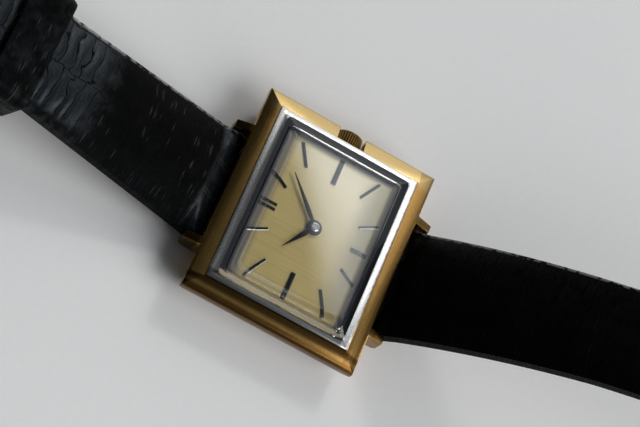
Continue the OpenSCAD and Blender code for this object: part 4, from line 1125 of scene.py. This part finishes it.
def scale_relief_tree():
    """Geometry nodes that press the grooves between scales into a piece."""
    name = "scale_relief"
    if name in bpy.data.node_groups:
        return bpy.data.node_groups[name]
    inputs = [
        ("Geometry", GEOMETRY, None),
        ("Row", FLOAT, 1.7),
        ("Column", FLOAT, 6.3),
        ("Depth", FLOAT, 0.08),
        ("Uneven", FLOAT, UNEVEN),
        ("Leather", MATERIAL, None),
        ("Lining", MATERIAL, None),
    ]
    w, source, target = start_group(name, "GeometryNodeTree", inputs, [("Geometry", GEOMETRY)])

    def attribute(label, kind):
        made = w.add("GeometryNodeInputNamedAttribute", {"Name": label}, data_type=kind)
        return made.outputs["Attribute"]

    lay = attribute("lay", "FLOAT_VECTOR")
    share = attribute("scaled", "FLOAT")
    top = attribute("top", "FLOAT")
    gap = scale_gap(w, lay, source["Row"], source["Column"], source["Uneven"])
    near = w.fade(gap, 0.0, 0.4)
    groove = w.times(near, share, top)
    puff = w.span(gap, 0.0, 0.8)
    swell = w.times(w.minus(puff, 1.0), 0.35, w.times(share, top))
    amount = w.times(w.minus(swell, groove), source["Depth"], MM)
    normal = w.add("GeometryNodeInputNormal").outputs["Normal"]
    shift = {"Geometry": source["Geometry"], "Offset": w.scaled(normal, amount)}
    moved = w.add("GeometryNodeSetPosition", shift)
    value = {"Geometry": moved.outputs["Geometry"], "Name": "groove", "Value": groove}
    kept = w.add("GeometryNodeStoreNamedAttribute", value, data_type="FLOAT", domain="POINT")
    real = w.add("GeometryNodeRealizeInstances", {"Geometry": kept.outputs["Geometry"]})
    below = w.add("FunctionNodeCompare", {0: top, 1: 0.2}, data_type="FLOAT", operation="LESS_THAN")
    first = covered(w, real, source["Leather"])
    second = covered(w, first, source["Lining"])
    w.feed(second.inputs["Selection"], below.outputs[0])
    w.feed(target.inputs[0], second.outputs[0])
    return w.tree


def shaped_by(piece, tree, values):
    """Runs a geometry node tree on a piece, with its inputs set by their sockets' identifiers."""
    modifier = piece.modifiers.new(tree.name, "NODES")
    modifier.node_group = tree
    sockets = [item for item in tree.interface.items_tree if item.item_type == "SOCKET"]
    identifiers = {item.name: item.identifier for item in sockets if item.in_out == "INPUT"}
    for label, value in values.items():
        modifier[identifiers[label]] = value
    plain_mesh(piece)


def press_scales(piece, settings, depth, leather, lining):
    """Presses the scales into a leather piece and gives it its two materials."""
    inputs = {
        "Row": settings.row / MM,
        "Column": settings.column / MM,
        "Depth": depth / MM,
        "Uneven": UNEVEN,
        "Leather": leather,
        "Lining": lining,
    }
    shaped_by(piece, scale_relief_tree(), inputs)
    smooth(piece.data, 50)


def cut_with(piece, cutters):
    """Takes the cutters' solids out of a piece, for holes and slots."""
    tools = [new_piece("cutter", mesh) for mesh in cutters]
    for tool in tools:
        cut = piece.modifiers.new("cut", "BOOLEAN")
        cut.operation = "DIFFERENCE"
        cut.solver = "EXACT"
        cut.object = tool
    plain_mesh(piece)
    for tool in tools:
        bpy.data.objects.remove(tool)


def hole_cutter(form, s):
    """A round bar square to the strap at a distance along it."""
    rings = []
    for out in (-THROUGH, THROUGH):
        y, z, a = strap_point(form, s, out)
        ring = []
        for i in range(24):
            t = math.tau * i / 24
            d = HOLE_R * math.sin(t)
            ring.append((HOLE_R * math.cos(t), y + form["side"] * d * math.cos(a), z + d * math.sin(a)))
        rings.append(ring)
    return lofted("cutter", rings)


def slot_cutter(form):
    """A block over the buckle bar, where the tongue comes through."""
    y, z, _ = strap_point(form, form["length"])
    near, far = y - SLOT_IN, y + SLOT_OUT
    corners = ((-SLOT_HALF, near), (SLOT_HALF, near), (SLOT_HALF, far), (-SLOT_HALF, far))
    return lofted("slot", [[(a, b, z + lift) for a, b in corners] for lift in (-THROUGH, THROUGH)])


def band_mesh(name, form, s, width, half_in, low, high):
    """A leather loop round the strap, with a crowned outside and soft edges."""
    centre = (high + low) / 2
    reach = (high - low) / 2
    outline = rounded_plan(half_in, reach, 0.4, 0.0, 6)
    # The loop's own line is cut in short steps, so that the scales can be pressed in
    dense = []
    for p, q in zip(outline, outline[1:] + outline[:1]):
        gap = math.dist(p, q)
        parts = max(1, round(gap / 0.35))
        for i in range(parts):
            dense.append([p[k] + (q[k] - p[k]) * i / parts for k in range(2)])
    count = len(dense)
    run = 0.0
    rings, lay, section = [], [], []
    w2, mid = width / 2, KEEPER_T * 0.5
    for i in range(13):
        u = -1 + 2 * i / 12
        rounding = 0.1 * max(0, (abs(u) - 0.85) / 0.15) ** 2
        section.append((u * w2, KEEPER_T - 0.14 * abs(u) ** 4 - rounding))
    section += [(w2, mid), (w2 - 0.05, 0.04), (0.0, 0.0), (-w2 + 0.05, 0.04), (-w2, mid)]
    y0, z0, a = strap_point(form, s)
    for i in range(count):
        p, before, after = dense[i], dense[i - 1], dense[(i + 1) % count]
        t = Vector((after[0] - before[0], after[1] - before[1])).normalized()
        n = Vector((t.y, -t.x))
        run += math.dist(p, before) if i else 0.0
        ring = []
        for along, out in section:
            x = p[0] + n.x * out
            lift = p[1] + n.y * out + centre
            y = y0 + form["side"] * (along * math.cos(a) - lift * math.sin(a))
            ring.append((x, y, z0 + along * math.sin(a) + lift * math.cos(a)))
            lay.append((run - 3.0, along + 40.0, out))
        rings.append(ring)
    mesh = lofted(name, rings, closed=True)
    outside = [1.0 if out > KEEPER_T * 0.6 else 0.4 for _, _, out in lay]
    store_lay(mesh, lay, scaled=[0.3] * len(lay), top=outside)
    return mesh


# Operators, one for each piece or group of like pieces


def notch_cutters():
    """Solids that open the crown's notch up to the plated ring."""
    low, high = node_span("crown")
    middle, r = (low.z + high.z) / 2, (high.z - low.z) / 2 + 0.11
    x0, x1 = RING_HIGH.x + 0.03, CASE_HIGH.x + 1
    round_part = turned_mesh("notch_round", [(0.0, r), (x1 - x0, r)], x0, middle)
    block = [[(x, -r, middle), (x, r, middle), (x, r, 8.0), (x, -r, 8.0)] for x in (x0, x1)]
    return [round_part, lofted("notch_block", block)]


class WATCH_OT_case_metal(bpy.types.Operator):
    """Gilt case, plated ring, steel back and the small metal pieces of the case"""

    bl_idname = "watch.case_metal"
    bl_label = "Case metal"
    bl_options = {"REGISTER", "UNDO"}

    def execute(self, context):
        case = context.scene.watch_case
        gold = gilt_finish(
            "brushed_gilding",
            case.gold,
            case.worn_and_shaded_gold,
            (CASE_HIGH.x, CASE_HALF_LENGTH),
            case.wear,
            seat_edge=-2.4,
            corner_edge=RING_HIGH.x - CASE_HIGH.x,
        )
        ring = plated_ring_finish(case.silver, case.wear)
        back = steel_finish("satin_back_steel", (0.56, 0.56, 0.55), turn=1.0)
        for node, edge, material, slot, cutters in (
            ("case_body", case.edge, gold, "gold_frame", notch_cutters()),
            ("inner_bezel", case.edge * 0.8, ring, "silver_ring", ()),
            ("case_back", case.edge, back, "back_steel", ()),
        ):
            dress(rounded_copy(node, edge, cutters=cutters), "watch_case", material, slot, node)
        dress_node("crown_tube", wheel_finish("tube_metal", (0.7, 0.5, 0.22)))
        dress_node("movement_holder", plate_finish("holder_brass", (0.66, 0.5, 0.26), "stripes"))
        bar = steel_finish("bar_steel", BARE_METAL, 0.22)
        dress_node("spring_bar_12", bar)
        dress_node("spring_bar_6", bar)
        return {"FINISHED"}


def ribbed_crown_tree():
    """Geometry nodes that set rounded ribs round the crown's edge."""
    inputs = [
        ("Geometry", GEOMETRY, None),
        ("Radius", FLOAT, 1.75 * MM),
        ("Length", FLOAT, 1.2 * MM),
        ("Rib", FLOAT, 0.1 * MM),
        ("Start", FLOAT, 13.9 * MM),
        ("Height", FLOAT, 3.0 * MM),
        ("Ribs", WHOLE, 32),
        ("Gilding", MATERIAL, None),
    ]
    outputs = [("Geometry", GEOMETRY)]
    w, source, target = start_group("crown_ribs", "GeometryNodeTree", inputs, outputs)
    circle = {"Vertices": source["Ribs"], "Radius": source["Radius"]}
    ring = w.add("GeometryNodeMeshCircle", circle, fill_type="NONE")
    points = w.add("GeometryNodeMeshToPoints", {"Mesh": ring.outputs[0]})
    rod = {"Vertices": 12, "Side Segments": 1, "Radius": source["Rib"], "Depth": source["Length"]}
    rib = w.add("GeometryNodeMeshCylinder", rod)
    copies = {"Points": points.outputs[0], "Instance": rib.outputs["Mesh"]}
    placed = w.add("GeometryNodeInstanceOnPoints", copies)
    # The ring of ribs is turned to stand round the stem, which lies along X
    middle = w.plus(source["Start"], w.times(source["Length"], 0.5))
    pose = {
        "Geometry": placed.outputs[0],
        "Translation": w.join(middle, 0.0, source["Height"]),
        "Rotation": (0, math.pi / 2, 0),
    }
    turned = w.add("GeometryNodeTransform", pose)
    both = w.add("GeometryNodeJoinGeometry")
    w.feed(both.inputs[0], turned.outputs[0])
    w.feed(both.inputs[0], source["Geometry"])
    real = w.add("GeometryNodeRealizeInstances", {"Geometry": both.outputs[0]})
    w.feed(target.inputs[0], covered(w, real, source["Gilding"]).outputs[0])
    return w.tree


def turned_mesh(name, profile, x0, z0, steps=64):
    """A closed shape turned about the stem: profile is (x, radius) from end to end."""
    turns = [math.tau * i / steps for i in range(steps)]
    rings = [[(x0 + x, r * math.cos(a), z0 + r * math.sin(a)) for a in turns] for x, r in profile]
    return lofted(name, rings)


class WATCH_OT_crown(bpy.types.Operator):
    """Ribbed winding crown, turned about the stem"""

    bl_idname = "watch.crown"
    bl_label = "Crown"
    bl_options = {"REGISTER", "UNDO"}

    ribs: bpy.props.IntProperty(
        name="Ribs", description="Number of ribs round the crown", default=32, min=8
    )

    def execute(self, context):
        case = context.scene.watch_case
        low, high = node_span("crown")
        r = (high.z - low.z) / 2
        middle = (high.z + low.z) / 2
        start = RING_HIGH.x + 0.08
        length = high.x - start
        profile = [
            (0.0, r - 0.5),
            (0.02, r - 0.22),
            (0.08, r - 0.15),
            (length - 0.24, r - 0.15),
            (length - 0.14, r - 0.2),
            (length - 0.05, r - 0.36),
            (length - 0.01, r - 0.6),
            (length, 0.25),
        ]
        made = new_piece("crown_finish", turned_mesh("crown_finish", profile, start, middle))
        gold = crown_finish(case.gold, case.worn_and_shaded_gold, r, middle)
        rib = math.pi * (r - 0.1) / self.ribs * 0.62
        inputs = {
            "Radius": (r - rib) * MM,
            "Length": (length - 0.26) * MM,
            "Rib": rib * MM,
            "Start": (start + 0.05) * MM,
            "Height": middle * MM,
            "Ribs": self.ribs,
            "Gilding": gold,
        }
        shaped_by(made, ribbed_crown_tree(), inputs)
        smooth(made.data, 40)
        dress(made, "winding_stem", gold, "crown_gold", "crown")
        return {"FINISHED"}


def softened(before, corner, after, soft):
    """Nine points round a profile's corner, starting and ending a soft distance from it."""

    def towards(end):
        return [c + (e - c) * soft / math.dist(end, corner) for c, e in zip(corner, end)]

    points = []
    for i in range(9):
        t = i / 8
        shares = ((1 - t) ** 2, 2 * t * (1 - t), t * t)
        sides = zip(towards(before), corner, towards(after))
        points.append([sum(share * c for share, c in zip(shares, side)) for side in sides])
    return points


class WATCH_OT_crystal(bpy.types.Operator):
    """Clear box crystal with a soft border and a hollow for the hands"""

    bl_idname = "watch.crystal"
    bl_label = "Crystal"
    bl_options = {"REGISTER", "UNDO"}

    border: bpy.props.FloatProperty(
        name="Border",
        description="Width over which the crystal's top falls to its sides",
        default=2.0 * MM,
        min=0.3 * MM,
        unit="LENGTH",
    )
    wall: bpy.props.FloatProperty(
        name="Wall",
        description="Thickness of the crystal's upright sides",
        default=1.0 * MM,
        min=0.3 * MM,
        unit="LENGTH",
    )
    thickness: bpy.props.FloatProperty(
        name="Thickness",
        description="Thickness of the crystal over the dial",
        default=1.15 * MM,
        min=0.3 * MM,
        unit="LENGTH",
    )

    def execute(self, context):
        hx, hy = GLASS_HIGH.x, GLASS_HIGH.y
        low, top = GLASS_LOW.z, GLASS_HIGH.z
        side_top = RING_HIGH.z + 0.45
        border, wall = self.border / MM, self.wall / MM
        ceiling = top - self.thickness / MM
        # Profiles as (inset, height): up the outside, over the border and across the flat top
        outside = [(0.06, low), (0.0, low + 0.06)]
        line = [(0.0, side_top - 0.25), (0.0, side_top), (border * 0.55, top - 0.126), (border, top)]
        line.append((border + 0.6, top))
        for before, corner, after, soft in zip(line, line[1:], line[2:], (0.2, 0.42, 0.07)):
            outside += softened(before, corner, after, soft)
        outside += [(inset, top) for inset in (border + 0.09, border + 0.2, 5.5, 8.2)]
        # The hollow, from the middle of its ceiling down, with a rounded inner corner
        hollow = [(wall + inset, ceiling) for inset in (4.0, 0.9, 0.33)]
        for i in range(7):
            t = math.pi / 2 * i / 6
            hollow.append((wall + 0.3 * (1 - math.sin(t)), ceiling - 0.3 * (1 - math.cos(t))))
        hollow += [(wall, low + 0.06), (wall - 0.06, low)]
        # One skin: down the hollow, up the outside and over the top to its middle
        rings = [rounded_plan(hx - inset, hy - inset, 0.42, z, 10) for inset, z in hollow]
        rings += [rounded_plan(hx - inset, hy - inset, 0.7, z, 10) for inset, z in outside]
        mesh = lofted("crystal_finish", rings)
        made = new_piece("crystal_finish", mesh)
        smooth(mesh, 50)
        dress(made, "watch_case", acrylic_finish(), "acrylic", "crystal")
        return {"FINISHED"}


class WATCH_OT_dial(bpy.types.Operator):
    """Satin dial, cut markers and blackened hands"""

    bl_idname = "watch.dial"
    bl_label = "Dial, markers and hands"
    bl_options = {"REGISTER", "UNDO"}

    def execute(self, context):
        dial = context.scene.watch_dial
        dress_node("dial", dial_finish(dial.champagne))
        cut = marker_finish(dial.marker)
        dress(rounded_copy("hour_markers", 0.0), "watch_case", cut, "marker_dark", "hour_markers")
        for node, body, hub, dome in (
            ("minute_hand", "cannon_pinion", 0.86, 0.6),
            ("hour_hand", "hour_wheel", 1.06, 0.0),
        ):
            ink = hand_finish(node + "_ink", dial.ink, hub, dome)
            dress(rounded_copy(node, 0.03 * MM), body, ink, "hand_black", node)
        dress_node("cannon_pinion", wheel_finish("cannon_steel", (0.62, 0.62, 0.62)))
        return {"FINISHED"}


class WATCH_OT_movement(bpy.types.Operator):
    """Finishes of the hand-wound movement's plates, wheels, stones and springs"""

    bl_idname = "watch.movement"
    bl_label = "Movement"
    bl_options = {"REGISTER", "UNDO"}

    def execute(self, context):
        plate = plate_finish("plate_gilding", (0.78, 0.62, 0.4), "spots")
        bridge = plate_finish("bridge_gilding", (0.82, 0.64, 0.42), "stripes")
        gilt = wheel_finish("gilt_wheels", (0.83, 0.64, 0.3), steel_above=DIAL_TOP)
        steel = wheel_finish("work_steel", (0.58, 0.58, 0.6), 0.14)
        spring = wheel_finish("mainspring_steel", (0.42, 0.43, 0.46))
        blue = wheel_finish("blued_spring", (0.06, 0.1, 0.42), 0.16)
        screws = wheel_finish("screw_steel", (0.55, 0.55, 0.57), 0.1)
        stone = ruby_finish()
        finishes = {
            plate: ["main_plate"],
            bridge: ["barrel_bridge", "train_bridge", "pallet_bridge", "balance_cock"],
            gilt: [
                "mainspring_barrel",
                "centre_wheel",
                "third_wheel",
                "fourth_wheel",
                "minute_wheel",
                "hour_wheel",
                "balance_wheel",
            ],
            steel: [
                "barrel_arbor",
                "ratchet_wheel",
                "crown_wheel",
                "click",
                "escape_wheel",
                "pallet_fork",
                "winding_stem",
                "winding_pinion",
                "clutch_wheel",
                "setting_wheel",
                "setting_lever",
                "yoke",
            ],
            spring: ["mainspring"],
            blue: ["hairspring"],
            screws: ["bridge_screws"],
            stone: ["bearing_jewels"],
        }
        for material, names in finishes.items():
            for name in names:
                dress_node(name, material)
        return {"FINISHED"}


class WATCH_OT_straps(bpy.types.Operator):
    """Padded scaled leather halves with their lining, holes and slot"""

    bl_idname = "watch.straps"
    bl_label = "Strap halves"
    bl_options = {"REGISTER", "UNDO"}

    def execute(self, context):
        strap = context.scene.watch_strap
        leather = leather_finish(strap.leather, strap.row / MM, strap.column / MM)
        lining = lining_finish(strap.lining)
        for name, form in STRAPS.items():
            made = new_piece(name + "_leather", strap_mesh(name, form))
            if form["tail"]:
                cut_with(made, [hole_cutter(form, s) for s in HOLES])
            else:
                cut_with(made, [slot_cutter(form)])
            press_scales(made, strap, strap.depth, leather, lining)
            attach(made, name)
            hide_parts(name)
        return {"FINISHED"}


class WATCH_OT_keepers(bpy.types.Operator):
    """Leather loops that hold the tail of the strap"""

    bl_idname = "watch.keepers"
    bl_label = "Keepers"
    bl_options = {"REGISTER", "UNDO"}

    def execute(self, context):
        strap = context.scene.watch_strap
        leather = bpy.data.materials["glazed_leather"]
        form = STRAPS["strap_12"]
        # The sliding keeper clears the strap at its thickest, at the near end of its way
        near = KEEPER_S - KEEPER_IN
        slide = (strap_half(near) + 0.15, -UNDER - TAIL_ROOM, strap_height(near) + 0.15)
        sewn = (strap_half(FIXED_S) + 0.08, -UNDER - 0.1, strap_height(FIXED_S) + TAIL_ROOM)
        for name, body, start, width, sides in (
            ("free_keeper", "free_keeper", KEEPER_S, KEEPER_W, slide),
            ("fixed_keeper", "strap_12", FIXED_S, FIXED_W, sewn),
        ):
            mesh = band_mesh(name + "_leather", form, start + width / 2, width, *sides)
            made = new_piece(name + "_leather", mesh)
            press_scales(made, strap, strap.depth * 0.8, leather, leather)
            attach(made, body)
            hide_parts(name)
        return {"FINISHED"}


class WATCH_OT_buckle(bpy.types.Operator):
    """Gilt frame and tongue of the buckle, with its steel bar"""

    bl_idname = "watch.buckle"
    bl_label = "Buckle"
    bl_options = {"REGISTER", "UNDO"}

    def execute(self, context):
        case = context.scene.watch_case
        gold = gilt_finish("buckle_gilding", case.gold, case.worn_and_shaded_gold, (0.0, 100.0), case.wear, 0.7)
        for node, body, edge, segments in (
            ("buckle_frame", "buckle", 0.22 * MM, 3),
            ("buckle_tongue", "buckle_tongue", 0.12 * MM, 2),
        ):
            dress(rounded_copy(node, edge, segments), body, gold, "buckle_gold", node)
        dress_node("buckle_bar", steel_finish("buckle_bar_steel", BARE_METAL, 0.22))
        return {"FINISHED"}


def lay_floor(tint):
    """A pale paper floor under the watch."""
    shape = bmesh.new()
    bmesh.ops.create_grid(shape, x_segments=2, y_segments=2, size=3.0)
    mesh = bpy.data.meshes.new("floor")
    shape.to_mesh(mesh)
    shape.free()
    floor = new_piece("floor", mesh)
    made, w, shader = start_material("floor_paper")
    fibre = w.noise(w.scaled(w.place(), 1.2), 1, 3, 0.6)
    base = w.mix(w.span(fibre, 0.3, 0.7), shaded(tint, 0.985), colour(tint))
    w.feed(shader.inputs["Base Color"], base)
    shader.inputs["Roughness"].default_value = 0.9
    shader.inputs["Specular IOR Level"].default_value = 0.1
    floor.data.materials.append(made)


def light_room(scene, stage):
    """A dim room with a bright wall past the crown, a small strong window in it and a bulb."""
    world = bpy.data.worlds.new("soft_room")
    scene.world = world
    world.use_nodes = True
    w = Wiring(world.node_tree)
    back = next(n for n in world.node_tree.nodes if n.bl_idname == "ShaderNodeBackground")
    ray = w.add("ShaderNodeTexCoord").outputs["Generated"]
    x, y, z = w.split(ray)
    past = w.minus(w.times(x, 0.821), w.times(y, 0.57))
    wall = w.times(
        w.span(past, 0.505, 0.56),
        w.span(y, -0.57, -0.475, 0.1, 0.95),
        w.span(z, 0.05, 0.3, 0.3, 1.0),
        w.span(y, -0.36, -0.28, 1.35, 1.0),
    )
    # The window's near edge crosses the crystal from its 12-3 to its 6-9 corner
    near = w.minus(w.times(x, 0.61), w.times(y, 0.79))
    side = w.plus(w.times(x, 0.79), w.times(y, 0.61))
    pane = w.times(
        w.span(near, 0.397, 0.41),
        w.fade(near, 0.43, 0.442),
        w.fade(w.absolute(w.minus(side, 0.21)), 0.13, 0.16),
        w.math("GREATER_THAN", z, 0.0),
    )
    aim = w.add("ShaderNodeVectorMath", {0: ray}, operation="DOT_PRODUCT")
    aim.inputs[1].default_value = Vector((0.72, -0.2, 0.66)).normalized()
    bulb = w.span(aim.outputs["Value"], 0.996, 0.9985)
    low_band = w.times(w.fade(z, 0.1, 0.4), w.span(x, 0.1, 0.6, 1.0, 0.35))
    room = w.times(w.plus(0.12, w.times(low_band, 0.4)), w.span(y, 0.0, 0.35, 1.0, 0.13))
    level = w.plus(room, wall, w.times(pane, stage.window), w.times(bulb, 18.0))
    w.feed(back.inputs["Color"], w.mix(wall, (0.84, 0.92, 1.0, 1), (1.0, 0.99, 0.97, 1)))
    w.feed(back.inputs["Strength"], w.times(level, stage.sky))


def hang_lamp(scene, power):
    """A large soft lamp high on the 6 side, aimed at the watch."""
    lamp = bpy.data.lights.new("fill_lamp", "AREA")
    lamp.shape = "SQUARE"
    lamp.size = 1.4
    lamp.energy = power
    item = bpy.data.objects.new("fill_lamp", lamp)
    scene.collection.objects.link(item)
    away = Vector((-0.3, -0.8, 0.5)).normalized()
    item.location = away * 1.6
    item.rotation_euler = away.to_track_quat("Z", "Y").to_euler()


def place_camera(scene):
    """The camera where the photograph was taken from, found from the dial's hour lines."""
    camera = bpy.data.cameras.new("camera")
    camera.lens = 140.6
    camera.sensor_width = 36
    camera.clip_start = 0.01
    item = bpy.data.objects.new("camera", camera)
    scene.collection.objects.link(item)
    place = (-0.13049, 0.06216, 0.29013)
    right = Vector((0.367175, -0.858264, 0.358559))
    down = Vector((-0.832672, -0.475089, -0.284514))
    ahead = Vector((0.414536, -0.194096, -0.889093))
    turn = Matrix((right, -down, -ahead)).transposed()
    item.matrix_world = Matrix.Translation(place) @ turn.to_4x4()
    scene.camera = item


class WATCH_OT_stage(bpy.types.Operator):
    """Plain pale floor, soft light and the camera at the photograph's angle"""

    bl_idname = "watch.stage"
    bl_label = "Stage"
    bl_options = {"REGISTER", "UNDO"}

    def execute(self, context):
        scene = context.scene
        stage = scene.watch_stage
        lay_floor(stage.floor)
        light_room(scene, stage)
        hang_lamp(scene, stage.lamp)
        place_camera(scene)
        scene.view_settings.view_transform = "Standard"
        return {"FINISHED"}


class WATCH_PT_panel(bpy.types.Panel):
    """Lists the watch's pieces in the sidebar"""

    bl_label = "Watch"
    bl_idname = "WATCH_PT_panel"
    bl_space_type = "VIEW_3D"
    bl_region_type = "UI"
    bl_category = "Watch"

    def draw(self, context):
        layout = self.layout
        for group in ("watch_case", "watch_dial", "watch_strap", "watch_stage"):
            settings = getattr(context.scene, group)
            for key in settings.bl_rna.properties.keys():
                if key not in ("rna_type", "name"):
                    layout.prop(settings, key)
        for operator in OPERATORS:
            layout.operator(operator.bl_idname)


SETTINGS = {
    "watch_case": WatchCaseSettings,
    "watch_dial": WatchDialSettings,
    "watch_strap": WatchStrapSettings,
    "watch_stage": WatchStageSettings,
}
OPERATORS = [
    WATCH_OT_case_metal,
    WATCH_OT_crown,
    WATCH_OT_crystal,
    WATCH_OT_dial,
    WATCH_OT_movement,
    WATCH_OT_straps,
    WATCH_OT_keepers,
    WATCH_OT_buckle,
    WATCH_OT_stage,
]


def register():
    for item in [*SETTINGS.values(), *OPERATORS, WATCH_PT_panel]:
        bpy.utils.register_class(item)
    for key, item in SETTINGS.items():
        setattr(bpy.types.Scene, key, bpy.props.PointerProperty(type=item))


def unregister():
    for key in SETTINGS:
        delattr(bpy.types.Scene, key)
    for item in [WATCH_PT_panel, *reversed(OPERATORS), *reversed(SETTINGS.values())]:
        bpy.utils.unregister_class(item)


def main():
    register()
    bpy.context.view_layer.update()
    for operator in OPERATORS:
        call = getattr(bpy.ops.watch, operator.bl_idname.split(".")[1])
        if call() != {"FINISHED"}:
            raise RuntimeError(operator.bl_label + " did not finish")


if __name__ == "__main__":
    main()
